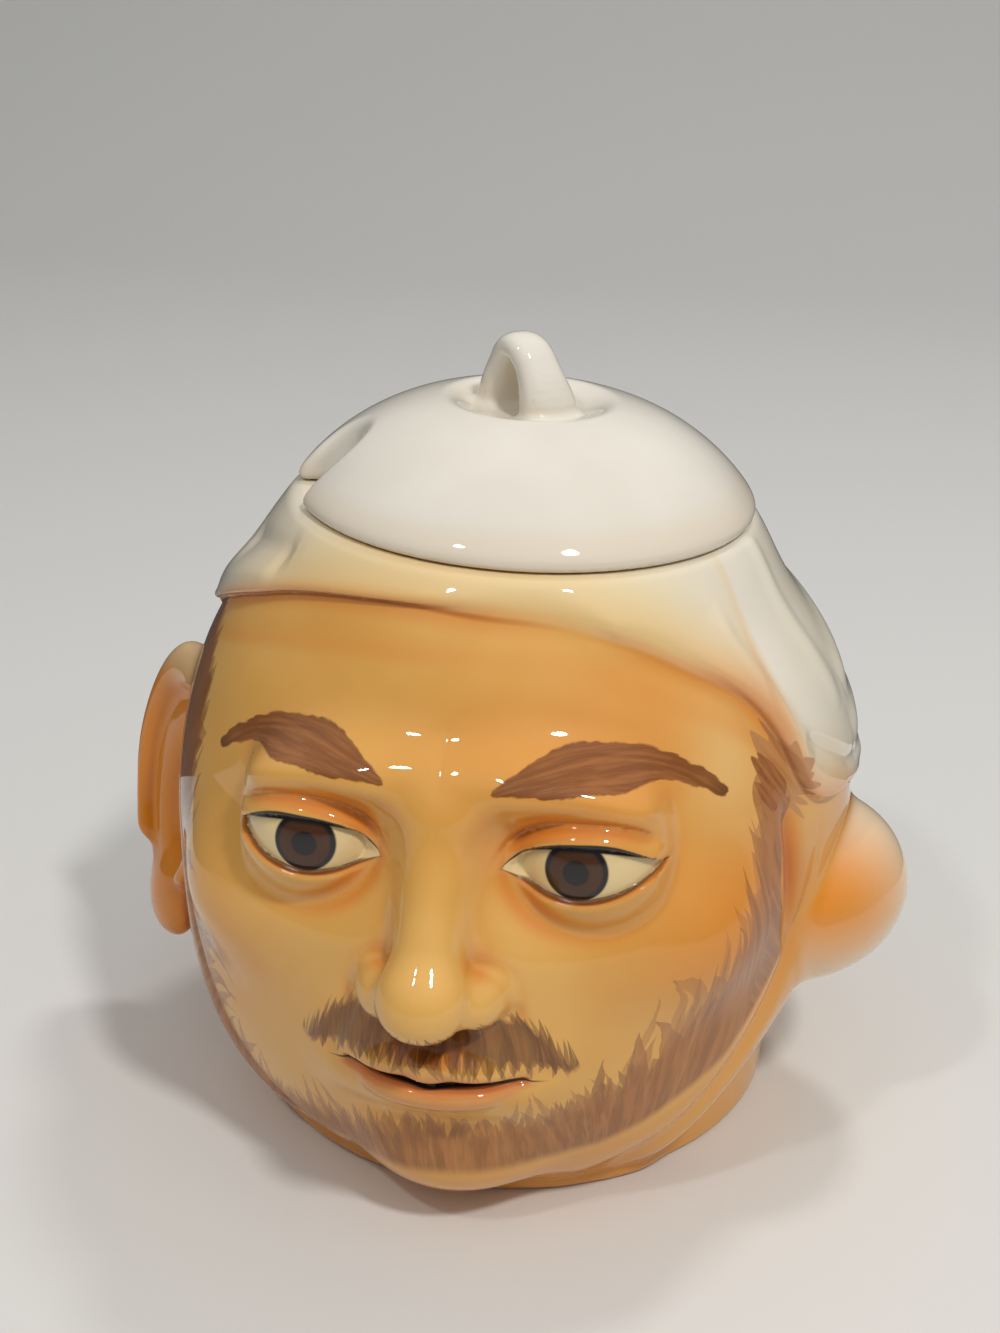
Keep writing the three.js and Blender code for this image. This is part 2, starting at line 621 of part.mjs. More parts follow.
// The lid is shaped level and then tilted with the rim
function onRim(shape) {
  shape.translate(0, 0, -RIM_HEIGHT);
  shape.rotateY(radians(RIM_TILT));
  return shape.translate(0, 0, RIM_HEIGHT);
}

function lidDome(notch) {
  return onRim(geometry(lidSolid(lidOutline()).subtract(notch)));
}

function lidCollar(notch) {
  const outer = MOUTH_RADIUS - COLLAR_FIT;
  const low = RIM_HEIGHT - COLLAR_DROP;
  const outline = [
    [outer, RIM_HEIGHT],
    [outer, low + 0.8],
    [outer - 0.8, low],
    [outer - COLLAR_WALL + 0.6, low],
    [outer - COLLAR_WALL, low + 0.6],
    [outer - COLLAR_WALL, RIM_HEIGHT],
    [outer, RIM_HEIGHT],
  ].map(([r, z]) => new THREE.Vector2(r, z));
  return onRim(geometry(largest(lidSolid(outline).subtract(notch))));
}

// One outline of the strap, square to the way it runs
function strapSection(centre, outward, width, thickness) {
  const side = new THREE.Vector3(-Math.sin(radians(LOOP_TURN)), Math.cos(radians(LOOP_TURN)), 0);
  const points = [];
  for (let i = 0; i < 12; i++) {
    const a = (i / 12) * 2 * Math.PI;
    const [c, s] = [Math.cos(a), Math.sin(a)];
    const across = Math.sign(c) * Math.abs(c) ** 0.87 * (width / 2);
    const through = Math.sign(s) * Math.abs(s) ** 0.87 * (thickness / 2);
    const p = centre.clone().addScaledVector(side, across).addScaledVector(outward, through);
    points.push(p.toArray());
  }
  return points;
}

// The loop: an arch of strap whose feet spread where they meet the dish
function lidLoop() {
  const run = new THREE.Vector3(Math.cos(radians(LOOP_TURN)), Math.sin(radians(LOOP_TURN)), 0);
  const side = new THREE.Vector3(-run.y, run.x, 0);
  const up = new THREE.Vector3(0, 0, 1);
  const top = RIM_HEIGHT + CROWN_RISE + LOOP_RISE - STRAP_THICKNESS / 2;
  const bottom = lidTop(0) - 2;
  const rings = [];
  for (let i = 0; i <= 16; i++) {
    const t = i / 16;
    const a = Math.PI * t;
    const foot = ease(0.3, 0, Math.min(t, 1 - t));
    const reach = LOOP_SPREAD * Math.cos(a) + Math.sign(Math.cos(a)) * 0.6 * foot;
    const height = bottom + (top - bottom) * Math.sin(a) ** 0.88;
    const centre = new THREE.Vector3(LID_X, 0, height).addScaledVector(run, reach);
    centre.addScaledVector(side, Math.tan(radians(LOOP_LEAN)) * (bottom - height));
    const lean = clamp(a, 0.06, Math.PI - 0.06);
    const outward = run.clone().multiplyScalar(Math.cos(lean)).addScaledVector(up, Math.sin(lean));
    rings.push(
      strapSection(centre, outward, STRAP_WIDTH + 2.6 * foot, STRAP_THICKNESS + 1.4 * foot),
    );
  }
  const middle = (ring) => [0, 1, 2].map((k) => ring.reduce((sum, p) => sum + p[k] / ring.length, 0));
  return skin([[middle(rings[0])], ...rings, [middle(rings.at(-1))]]);
}

function loopOnLid() {
  const under = [new THREE.Vector2(0, RIM_HEIGHT)];
  for (let i = 0; i <= 8; i++) {
    const r = (DISH_RADIUS * 1.1 * (8 - i)) / 8;
    under.push(new THREE.Vector2(r, lidTop(r) + JOIN_GAP));
  }
  under.splice(1, 0, new THREE.Vector2(DISH_RADIUS * 1.1, RIM_HEIGHT));
  return onRim(geometry(largest(solid(lidLoop()).subtract(lidSolid(under)))));
}

const GLAZES = {
  skin: { color: 0xd99a55, roughness: 0.2, metalness: 0 },
  cloth: { color: 0xe9e2d8, roughness: 0.2, metalness: 0 },
};

function piece(name, shape, glaze) {
  const mesh = new THREE.Mesh(shape, new THREE.MeshStandardMaterial(GLAZES[glaze]));
  mesh.name = name;
  mesh.geometry.computeVertexNormals();
  return mesh;
}

function build() {
  const group = new THREE.Group();
  const cutter = headCutter();
  const notch = notchCutter();
  group.add(
    piece("jar_body", jarBody(), "skin"),
    piece("ear", ear(cutter), "skin"),
    piece("scarf_knot", scarfKnot(cutter), "cloth"),
    piece("lid_dome", lidDome(notch), "cloth"),
    piece("lid_collar", lidCollar(notch), "cloth"),
    piece("lid_loop", loopOnLid(), "cloth"),
  );
  return group;
}

export default build();
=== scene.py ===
"""Looks of the glazed head condiment jar: two fired pieces, the jar and its lid, under painted glaze."""
import math

import bpy
import numpy as np
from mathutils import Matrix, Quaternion, Vector


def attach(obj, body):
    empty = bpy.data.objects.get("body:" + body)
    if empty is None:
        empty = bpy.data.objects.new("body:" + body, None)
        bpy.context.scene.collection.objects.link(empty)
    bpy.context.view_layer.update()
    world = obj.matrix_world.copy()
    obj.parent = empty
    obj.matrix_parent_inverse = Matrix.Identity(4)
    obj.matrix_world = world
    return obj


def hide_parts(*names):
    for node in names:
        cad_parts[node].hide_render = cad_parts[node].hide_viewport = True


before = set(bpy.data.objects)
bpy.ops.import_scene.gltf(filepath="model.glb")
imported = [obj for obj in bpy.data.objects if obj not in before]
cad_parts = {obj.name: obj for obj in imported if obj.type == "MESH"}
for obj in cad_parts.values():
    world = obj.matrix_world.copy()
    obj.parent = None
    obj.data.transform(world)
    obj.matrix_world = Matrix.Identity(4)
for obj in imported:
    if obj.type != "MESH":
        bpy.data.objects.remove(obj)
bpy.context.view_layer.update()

# Sizes in millimetres, as in the part's source
HEAD_WIDTH, HEAD_DEPTH, RIM_HEIGHT = 93.0, 90.0, 85.0
FOOT_DIAMETER, FOOT_Y = 73.0, 3.2
LID_RADIUS, LID_X = 30.65, 1.2
RIM_SLOPE = math.tan(math.radians(2.5))  # the rim and the lid slope down to the knot's side
CROWN_RISE, LOOP_RISE = 14.2, 7.8
WALL, FLOOR, CLOTH, EDGE = 4.2, 5.0, 1.3, 1.1
MOUTH_RADIUS = LID_RADIUS - 4.8
COLLAR_FIT, COLLAR_WALL, COLLAR_DROP = 1.0, 2.8, 5.0
NOTCH_WIDTH, NOTCH_DEPTH, NOTCH_TURN = 9.2, 9.4, 200.0
LOOP_TURN, LOOP_LEAN, LOOP_SPREAD = -43.0, 9.0, 4.2
STRAP_WIDTH, STRAP_THICKNESS = 6.4, 4.2
DISH_RADIUS, DISH_DEPTH = 10.5, 2.4
EAR_STAND, EAR_LEAN, EAR_CANT = 44.0, 10.0, 8.0
CHEEK_HEIGHT = 0.4706 * RIM_HEIGHT
JAW_DROP, NAPE_DROP = 0.529 * RIM_HEIGHT, 0.3035 * RIM_HEIGHT
SHOULDER = 1.2  # how much flatter the kerchief's shoulder is than an ellipse
CLOTH_EDGE = [
    (-180, 33), (-150, 37), (-125, 47), (-102, 62), (-79, 70), (-66, 73.6), (-55, 76.1),
    (-42, 78.6), (-28, 80.2), (-12, 81), (4, 80.5), (20, 79.4), (34, 76.6), (46, 72.6),
    (56, 68.6), (61.5, 63.5), (64.5, 56.5), (70, 52.8), (82, 51), (96, 48), (120, 39.5),
    (150, 34), (180, 33),
]
# Folds of the kerchief: width, rise, then degrees and heights along the fold
CLOTH_FOLDS = [
    (1.9, 0.75, [(55, 79), (58, 74), (61, 69), (64, 63.5), (68, 58.5)]),
    (1.3, -0.7, [(66, 62), (74, 58), (82, 54.5), (93, 52)]),
    (2.0, -0.9, [(-78, 78.5), (-68, 80), (-58, 81), (-47, 82.2)]),
    (2.8, 0.7, [(-100, 68), (-80, 74.8), (-64, 77.6), (-50, 79.6)]),
    (2.4, 0.4, [(80, 85), (80, 77), (82, 69), (84, 61)]),
    (2.6, 0.7, [(88, 56), (112, 60), (140, 63), (168, 64)]),
    (2.6, 0.7, [(90, 62), (112, 70), (138, 76), (160, 78)]),
    (2.6, 0.6, [(92, 51), (118, 49), (146, 48), (170, 49)]),
    (2.8, 0.7, [(-172, 56), (-145, 57), (-122, 62), (-104, 70)]),
    (2.4, 0.6, [(-172, 70), (-146, 71), (-126, 75), (-110, 80)]),
]
EYE_X, EYE_Y, EYE_Z, EYE_RADIUS = 16.6, -34.6, 53.4, 9.4
EYE_REACH, EYE_ABOVE, EYE_BELOW = 9.4, 3.9, 2.9
ROUND = 0.8  # millimetres along the skin for one degree round the head
GLAZE_INSET = 0.12  # keeps the glazed skin inside the CAD's box
NET = 1.04  # size of the first net's quads, which are split where it matters
UNIT = 0.001
# The photograph's view, in degrees, metres and pixels
VIEW_TURN, VIEW_DOWN, VIEW_ROLL = 12, 22.9, 0.4
VIEW_AWAY, VIEW_SHIFT, VIEW_HEIGHT = 0.238, 0.002, 0.161
VIEW_FOCAL, PICTURE_HEIGHT, SENSOR = 1900, 1333, 36
# The floor and backdrop, in metres
TABLE_FRONT, TABLE_END, FLOOR_WIDTH = -1.6, 0.09, 1.6
SWEEP_START, SWEEP_RADIUS, SWEEP_STEPS, BACKDROP_TOP = 0.55, 0.5, 12, 2.2


# Forms: distances in millimetres, negative inside

def ease(start, end, v):
    t = np.clip((v - start) / (end - start), 0, 1)
    return t * t * (3 - 2 * t)


def bump(distance, width):
    return np.exp(-((distance / width) ** 2))


def join(a, b, soft):
    h = np.clip(0.5 + 0.5 * (b - a) / soft, 0, 1)
    return b + (a - b) * h - soft * h * (1 - h)


def both(a, b, soft):
    return -join(-a, -b, soft)


def cut(a, b, soft):
    return both(a, -b, soft)


def spin(a, b, degrees):
    s, c = math.sin(math.radians(degrees)), math.cos(math.radians(degrees))
    return c * a + s * b, c * b - s * a


def ellipsoid(p, centre, radii, turn=(0, 0, 0)):
    x, y, z = (p[i] - centre[i] for i in range(3))
    if turn[0]:
        y, z = spin(y, z, turn[0])
    if turn[1]:
        x, z = spin(x, z, turn[1])
    if turn[2]:
        x, y = spin(x, y, turn[2])
    near = np.sqrt((x / radii[0]) ** 2 + (y / radii[1]) ** 2 + (z / radii[2]) ** 2)
    steep = np.sqrt((x / radii[0] ** 2) ** 2 + (y / radii[1] ** 2) ** 2 + (z / radii[2] ** 2) ** 2)
    return near * (near - 1) / np.maximum(steep, 1e-6)


def bar(p, start, end, radius_start, radius_end):
    along = [end[i] - start[i] for i in range(3)]
    away = [p[i] - start[i] for i in range(3)]
    length2 = sum(v * v for v in along)
    t = np.clip(sum(a * b for a, b in zip(away, along)) / length2, 0, 1)
    gap = np.sqrt(sum((a - t * b) ** 2 for a, b in zip(away, along)))
    return gap - radius_start - (radius_end - radius_start) * t


def cloth_edge(angle):
    """Height of the kerchief's lower edge at an angle in degrees."""
    pts = np.array(CLOTH_EDGE, float)
    last = len(pts) - 1
    before = np.vstack([pts[last - 1] - (360, 0), pts[:-1]])
    after = np.vstack([pts[1:], pts[1] + (360, 0)])
    slope = (after[:, 1] - before[:, 1]) / (after[:, 0] - before[:, 0])
    i = np.clip(np.searchsorted(pts[:, 0], angle, side="right") - 1, 0, last - 1)
    span = pts[i + 1, 0] - pts[i, 0]
    t = (angle - pts[i, 0]) / span
    rise = t * t * (3 - 2 * t)
    lead = (t * (1 - t) ** 2 * slope[i] - t * t * (1 - t) * slope[i + 1]) * span
    return pts[i, 1] * (1 - rise) + pts[i + 1, 1] * rise + lead


def plain_radius(angle, z):
    s, c = np.sin(angle), np.cos(angle)
    rim = LID_RADIUS - CLOTH - 0.2
    z = z + RIM_SLOPE * rim * s * ease(CHEEK_HEIGHT, RIM_HEIGHT, z)
    oval = 1 / np.hypot(2 * s / HEAD_WIDTH, 2 * c / HEAD_DEPTH)
    turn = -12 - 13 * s
    back = ease(turn - 14, turn + 14, -c * HEAD_DEPTH / 2)
    drop = JAW_DROP + (NAPE_DROP - JAW_DROP) * back
    below = np.clip(1 - (np.maximum(CHEEK_HEIGHT - z, 0) / drop) ** 3.2, 1e-6, 1) ** 0.31
    share_at_rim = rim / (HEAD_WIDTH / 2)
    crown = (RIM_HEIGHT - CHEEK_HEIGHT) / math.sqrt(1 - share_at_rim**2)
    above = np.sqrt(np.clip(1 - (np.maximum(z - CHEEK_HEIGHT, 0) / crown) ** 2, 0, 1))
    radius = oval * np.where(z > CHEEK_HEIGHT, above, below)
    round_rim = LID_X * s + np.sqrt(rim**2 - (LID_X * c) ** 2)
    radius = radius - SHOULDER * (1.5 + 0.5 * s) * bump(z - RIM_HEIGHT + 9, 8.5) * (1 - bump(angle, 0.6))
    return radius + (round_rim - oval * share_at_rim) * ease(RIM_HEIGHT - 22, RIM_HEIGHT, z)


def plain_head(x, y, z):
    angle = np.arctan2(x, -y)
    level = np.clip(z, 2, RIM_HEIGHT + 4)
    here = plain_radius(angle, level)
    slope = np.clip(plain_radius(angle, level + 0.5) - plain_radius(angle, level - 0.5), -3, 3)
    return (np.hypot(x, y) - here) / np.hypot(1, slope)


def brow_and_cheek(d, p):
    d = join(d, ellipsoid(p, (0, -12, 37), (31, 35, 33)), 8)
    d = join(d, ellipsoid(p, (24, -29, 40.5), (11, 10, 8)), 8)
    d = join(d, ellipsoid(p, (12.5, -38.2, 61.8), (12.5, 6.6, 4.2), (0, -8, 0)), 5)
    d = join(d, ellipsoid(p, (0, -39, 60), (6, 6, 5)), 4)
    d = cut(d, ellipsoid(p, (16.8, -49.5, 53.2), (11.4, 11, 8), (0, -6, 0)), 5)
    return d + 0.6 * bump(np.hypot(p[0] - 34, p[2] - 62), 9)


def nose(d, p):
    d = join(d, bar(p, (0, -42.5, 57.5), (0, -50.6, 41.5), 3.2, 4.4), 3.4)
    d = join(d, ellipsoid(p, (0, -51.6, 39.6), (5.6, 5.6, 5)), 2.5)
    d = join(d, ellipsoid(p, (5.9, -47.2, 38.4), (3.5, 5.2, 3.7), (0, 0, -18)), 1.6)
    return cut(d, ellipsoid(p, (3.2, -50.2, 34.6), (1.9, 3, 2.2), (25, 0, 0)), 1.2)


def lid_lines(x, z):
    """Heights of the upper and the lower eyelid's edge, and the place across the eye from -1 to 1."""
    t = np.clip((x - EYE_X) / EYE_REACH, -1.2, 1.2)
    upper = EYE_Z + EYE_ABOVE * (1 - np.abs(t) ** 2.4) + 0.5 * t
    lower = EYE_Z - EYE_BELOW * (1 - t * t) + 0.5 * t
    return upper, lower, t


def eye(d, p, front):
    ball = np.sqrt((p[0] - EYE_X) ** 2 + (p[1] - EYE_Y) ** 2 + (p[2] - EYE_Z) ** 2)
    upper, lower, t = lid_lines(p[0], p[2])
    opening = np.maximum(p[2] - upper, lower - p[2])
    thick = 1.2 * ease(1.2, 0.9, np.abs(t))
    d = join(d, cut(ball - EYE_RADIUS - thick, opening, 1), 1.6)
    d = join(d, ball - EYE_RADIUS, 0.3)
    return d + 0.55 * bump(p[2] - upper - 2.3, 0.8) * ease(1.15, 0.7, np.abs(t)) * front


def parting_height(x):
    return 26.9 - 0.5 * np.minimum(x / 11, 1.2) ** 2 - 0.35 * bump(x, 2.2)


def mouth_and_chin(d, p, front):
    x, z = p[0], p[2]
    d = join(d, ellipsoid(p, (0, -36.5, 27), (15.5, 12.2, 11)), 6)
    d = join(d, ellipsoid(p, (0, -36, 11.5), (11, 9.8, 7.2)), 6)
    d = join(d, ellipsoid(p, (3.7, -48, 29), (5.6, 2.7, 1.9), (0, -14, 16)), 1.4)
    d = join(d, ellipsoid(p, (0, -48.6, 28.3), (2.6, 2.4, 1.6)), 1.4)
    d = join(d, ellipsoid(p, (0, -47.3, 24.9), (8.4, 3.4, 2.5)), 1.8)
    corner = bump(np.hypot(x - 11.6, z - 26.4), 1.7)
    groove = bump(x, 1.4) * ease(30, 31.2, z) * ease(36, 34, z)
    under_lip = bump(z - 19.2, 2.2) * bump(x, 9)
    fold = np.clip((38 - z) / 12, 0, 1)
    smile = bump(x - 8.8 - 5.2 * fold, 1.5) * ease(25, 28, z) * ease(40, 37, z)
    d = d + front * 1.1 * bump(z - parting_height(x), 0.62) * ease(12.2, 10.2, x)
    return d + front * (0.5 * corner + 0.55 * groove + 0.9 * under_lip + 0.5 * smile)


def fold_rise(angle, z):
    """How far the kerchief's folds stand out of its surface, less than 0 in a valley."""
    total = np.zeros(np.shape(z))
    for width, rise, points in CLOTH_FOLDS:
        gap, along, length = line_gap(angle * ROUND, z, [(a * ROUND, h) for a, h in points])
        total = total + rise * bump(gap, width) * ease(-1.5, 4, np.minimum(along, length - along))
    return total


def line_gap(x, z, line):
    """Distance to a line of points, how far along it the nearest place is, and its length."""
    best, along, run = np.full(np.shape(z), 1e9), np.zeros(np.shape(z)), 0.0
    for (ax, az), (bx, bz) in zip(line[:-1], line[1:]):
        dx, dz = bx - ax, bz - az
        length = math.hypot(dx, dz)
        k = np.clip(((x - ax) * dx + (z - az) * dz) / length**2, 0, 1)
        gap = np.hypot(x - ax - k * dx, z - az - k * dz)
        along = np.where(gap < best, run + k * length, along)
        best = np.minimum(best, gap)
        run += length
    return best, along, run


def turn_of(x, y):
    """Degrees round the head from the middle of the face."""
    return np.degrees(np.arctan2(x, -y))


def over_edge(angle, z):
    """Distance above the kerchief's edge, less than 0 below it."""
    rise = cloth_edge(np.minimum(angle + 1, 180)) - cloth_edge(np.maximum(angle - 1, -180))
    return (z - cloth_edge(angle)) / np.hypot(1, rise / (2 * ROUND))


def kerchief(d, plain, x, y, z):
    angle = turn_of(x, y)
    over = over_edge(angle, z)
    blend = np.maximum(bump(angle - 16, 17), 0.75 * bump(angle - 42, 15))
    cloth = both(plain - CLOTH, -over, 1 + 4 * blend) - 0.8 * fold_rise(angle, z) * ease(0.2, 3, over)
    return join(d, cloth, 0.5 + 1.2 * blend)


def neck(x, y, z):
    side = np.hypot(x, y - FOOT_Y) - FOOT_DIAMETER / 2 - 0.06 * z
    return both(side, z - NAPE_DROP, 6)


def jaw_line(angle):
    return 3 + 31 * (np.maximum((np.abs(angle) - 20) / 42, 0)) ** 2.1


def jaw_crease(x, y, z):
    angle = np.abs(turn_of(x, y))
    return bump((z - jaw_line(angle)) * 0.7, 2.1) * ease(72, 60, angle) * ease(24, 36, angle)


def side_seam(x, y, z):
    """Groove between the edge of the face and the knot."""
    angle = turn_of(x, y)
    return 0.9 * bump((angle - 61) * ROUND, 1.3) * ease(33, 38, z) * ease(56, 51, z)


def head(x, y, z):
    plain = plain_head(x, y, z)
    p = (np.abs(x), y, z)
    front = ease(-30, -38, y)
    d = brow_and_cheek(plain, p)
    d = mouth_and_chin(d, p, front)
    d = nose(d, p)
    d = eye(d, p, front)
    d = join(d, neck(x, y, z), 2.5) + 0.9 * jaw_crease(x, y, z) + side_seam(x, y, z)
    return kerchief(d, plain, x, y, z)


def ear_form(u, v, w):
    half = 12.2 - 3.2 * ease(4.4, -17.8, v)
    outline = (np.hypot(u / half, v / 22.2) - 1) * 12.4
    plate = both(outline, np.abs(w - 1) - 2.2, 2.5)
    rim = both(np.hypot(outline + 1.4, w - 3) - 2.1, -v - 13.3, 3)
    d = join(plate, rim, 1.2)
    d = cut(d, ellipsoid((u, v, w), (-1.7, -0.5, 5), (6.3, 12.2, 4.2)), 1.6)
    d = join(d, ellipsoid((u, v, w), (-8.1, -2.2, 1.8), (3, 4.2, 2.6)), 1.2)
    return join(d, ellipsoid((u, v, w), (-1.7, -18.3, 1.5), (5.8, 6.1, 3)), 2)


def ear(x, y, z):
    stand = math.radians(EAR_STAND)
    px, py, pz = x + 47.2, y - 0.9, z - 36.8
    w = -px * math.cos(stand) - py * math.sin(stand)
    back = -px * math.sin(stand) + py * math.cos(stand)
    pz, w = spin(pz, w, -EAR_CANT)
    u, v = spin(back, pz, EAR_LEAN)
    return ear_form(u, v, w)


def knot(x, y, z):
    return ellipsoid((x, y, z), (38.8, -2.2, 33.6), (16.2, 17.6, 12.3), (0, 8, 0))


def hollow(x, y, z):
    inner = join(plain_head(x, y, z), neck(x, y, z), 6) + WALL
    inner = both(inner, -y - HEAD_DEPTH / 2 + WALL + 5.5, 12)
    inner = both(inner, FLOOR - z, 8)
    inner = both(inner, z - (RIM_HEIGHT - 8), 6)
    bore = np.maximum(np.hypot(x - LID_X, y) - MOUTH_RADIUS, RIM_HEIGHT - 16 - z)
    return join(inner, bore, 2)


def jar(x, y, z):
    d = join(head(x, y, z), knot(x, y, z), 1.6)
    d = join(d, ear(x, y, z), 1.6) + GLAZE_INSET
    d = both(d, z - RIM_HEIGHT + RIM_SLOPE * x, EDGE)
    d = both(d, -z, EDGE)
    return cut(d, hollow(x, y, z), 1.2)


def lid_top(r):
    dome = np.maximum(1 - (r / (LID_RADIUS + 0.2)) ** 2.6, 0) ** 0.83
    return RIM_HEIGHT + CROWN_RISE * dome - DISH_DEPTH * ease(DISH_RADIUS * 1.12, DISH_RADIUS * 0.55, r)


def loop(x, y, z):
    turn = math.radians(LOOP_TURN)
    run = (x - LID_X) * math.cos(turn) + y * math.sin(turn)
    side = -(x - LID_X) * math.sin(turn) + y * math.cos(turn)
    top = RIM_HEIGHT + CROWN_RISE + LOOP_RISE - STRAP_THICKNESS / 2
    bottom = float(lid_top(np.array(0.0))) - 2
    side = side + math.tan(math.radians(LOOP_LEAN)) * (z - bottom)
    t = np.linspace(0, 1, 33)
    foot = ease(0.3, 0, np.minimum(t, 1 - t))
    arch_run = LOOP_SPREAD * np.cos(np.pi * t) + np.sign(np.cos(np.pi * t)) * 0.6 * foot
    arch_z = bottom + (top - bottom) * np.abs(np.sin(np.pi * t)) ** 0.88
    best = np.full(np.shape(x), 1e9)
    flare = np.zeros(np.shape(x))
    for i in range(len(t) - 1):
        ax, az = arch_run[i], arch_z[i]
        bx, bz = arch_run[i + 1] - ax, arch_z[i + 1] - az
        k = np.clip(((run - ax) * bx + (z - az) * bz) / (bx * bx + bz * bz), 0, 1)
        gap = np.hypot(run - ax - k * bx, z - az - k * bz)
        flare = np.where(gap < best, foot[i] + (foot[i + 1] - foot[i]) * k, flare)
        best = np.minimum(best, gap)
    width = (STRAP_WIDTH + 2.6 * flare) / 2
    thick = (STRAP_THICKNESS + 1.4 * flare) / 2
    return ((np.abs(side) / width) ** 2.3 + (best / thick) ** 2.3) ** (1 / 2.3) * thick - thick


def lid(x, y, z):
    tilt = math.degrees(math.atan(RIM_SLOPE))
    x, z = spin(x, z - RIM_HEIGHT, -tilt)
    z = z + RIM_HEIGHT
    r = np.hypot(x - LID_X, y)
    level = np.clip(r, 0.2, LID_RADIUS)
    slope = np.clip(lid_top(level + 0.2) - lid_top(level - 0.2), -1.2, 1.2) / 0.4
    top = (z - lid_top(level)) / np.hypot(1, slope)
    d = both(top, r - LID_RADIUS, 1.4)
    d = both(d, RIM_HEIGHT - z, 1.6)
    outer = MOUTH_RADIUS - COLLAR_FIT
    tall = np.abs(z - RIM_HEIGHT - 0.5 + COLLAR_DROP / 2) - COLLAR_DROP / 2 - 0.5
    ring = both(np.abs(r - outer + COLLAR_WALL / 2) - COLLAR_WALL / 2, tall, 1)
    d = join(d, ring, 0.8)
    rise, bore = CROWN_RISE - DISH_DEPTH - WALL, outer - COLLAR_WALL
    d = cut(d, ellipsoid((x, y, z), (LID_X, 0, RIM_HEIGHT), (bore, bore, rise)), 1)
    d = join(d, both(loop(x, y, z), RIM_HEIGHT + rise + 1 - z, 1), 1.6)
    turn = math.radians(NOTCH_TURN)
    along = (x - LID_X) * math.cos(turn) + y * math.sin(turn)
    across = -(x - LID_X) * math.sin(turn) + y * math.cos(turn)
    inner = LID_RADIUS - NOTCH_DEPTH + NOTCH_WIDTH / 2
    slot = np.hypot(np.minimum(along - inner, 0), across) - NOTCH_WIDTH / 2
    return cut(d, slot, 1.6) + GLAZE_INSET


# Meshes: a closed skin of quads along a form's surface

CORNERS = [(i, j, k) for i in (0, 1) for j in (0, 1) for k in (0, 1)]


def shifted(grid, corner, shape):
    """The part of a grid that starts at one corner of its first cell."""
    return grid[tuple(slice(c, n + c) for c, n in zip(corner, shape))]


def sampled(form, low, high, step, coarse=4):
    """The form's distances on a grid, exact near its surface and coarse elsewhere."""
    counts = [int(math.ceil((high[a] - low[a]) / (step * coarse))) * coarse + 1 for a in range(3)]
    axes = [low[a] + step * np.arange(counts[a]) for a in range(3)]
    rough = form(*np.meshgrid(*[a[::coarse] for a in axes], indexing="ij"))
    near = np.abs(rough) < step * coarse * 1.6
    blocks = np.zeros([n - 1 for n in rough.shape], bool)
    for corner in CORNERS:
        blocks |= shifted(near, corner, blocks.shape)
    grid = rough[:-1, :-1, :-1].astype(np.float32)
    for a in range(3):
        grid, blocks = np.repeat(grid, coarse, a), np.repeat(blocks, coarse, a)
    grid = np.pad(grid, ((0, 1),) * 3, mode="edge")
    blocks = np.pad(blocks, ((0, 1),) * 3)
    for a in range(3):
        blocks = blocks | np.roll(blocks, 1, a)
    at = np.nonzero(blocks)
    grid[at] = form(axes[0][at[0]], axes[1][at[1]], axes[2][at[2]])
    return grid


def surface(form, low, high, step):
    """A vertex in each cell that the surface crosses, the quads that join them, and the solid behind each."""
    grid = sampled(form, low, high, step)
    inside = grid < 0
    shape = [n - 1 for n in grid.shape]
    count = np.zeros(shape, np.int8)
    for corner in CORNERS:
        count += shifted(inside, corner, shape)
    cells = np.argwhere((count > 0) & (count < 8))
    number = np.full(shape, -1, np.int64)
    number[tuple(cells.T)] = np.arange(len(cells))
    values = np.stack([grid[tuple((cells + corner).T)] for corner in CORNERS], 1)
    total = np.zeros((len(cells), 3))
    hits = np.zeros(len(cells))
    for a in range(8):
        for b in range(a + 1, 8):
            start, end = np.array(CORNERS[a]), np.array(CORNERS[b])
            if np.abs(end - start).sum() != 1:
                continue
            va, vb = values[:, a], values[:, b]
            crossed = (va < 0) != (vb < 0)
            share = np.where(crossed, va / np.where(crossed, va - vb, 1), 0)
            total[crossed] += start + (end - start) * share[crossed, None]
            hits += crossed
    points = np.array(low) + step * (cells + total / hits[:, None])
    quads, solid = [], []
    strides = np.array([grid.shape[1] * grid.shape[2], grid.shape[2], 1])
    for a in range(3):
        b, c = (a + 1) % 3, (a + 2) % 3
        edge = np.argwhere(np.diff(inside, axis=a))
        kept = (edge[:, b] > 0) & (edge[:, c] > 0) & (edge[:, b] < shape[b]) & (edge[:, c] < shape[c])
        edge = edge[kept]

        def cell(db, dc):
            q = edge.copy()
            q[:, b] -= db
            q[:, c] -= dc
            return number[tuple(q.T)]

        quad = np.stack([cell(1, 1), cell(0, 1), cell(0, 0), cell(1, 0)], 1)
        turned = ~inside[tuple(edge.T)]
        quad[turned] = quad[turned][:, ::-1]
        quads.append(quad)
        solid.append(edge @ strides + strides[a] * turned)
    return points, np.concatenate(quads), np.concatenate(solid)


def gradient(form, points, reach=0.05):
    slope = np.zeros_like(points)
    for a in range(3):
        step = np.zeros(3)
        step[a] = reach
        slope[:, a] = (form(*(points + step).T) - form(*(points - step).T)) / (2 * reach)
    return slope


def following(corners, sizes):
    """The next corner of the same face, for every corner."""
    after = np.roll(corners, -1)
    ends = np.cumsum(sizes) - 1
    after[ends] = corners[ends - sizes + 1]
    return after


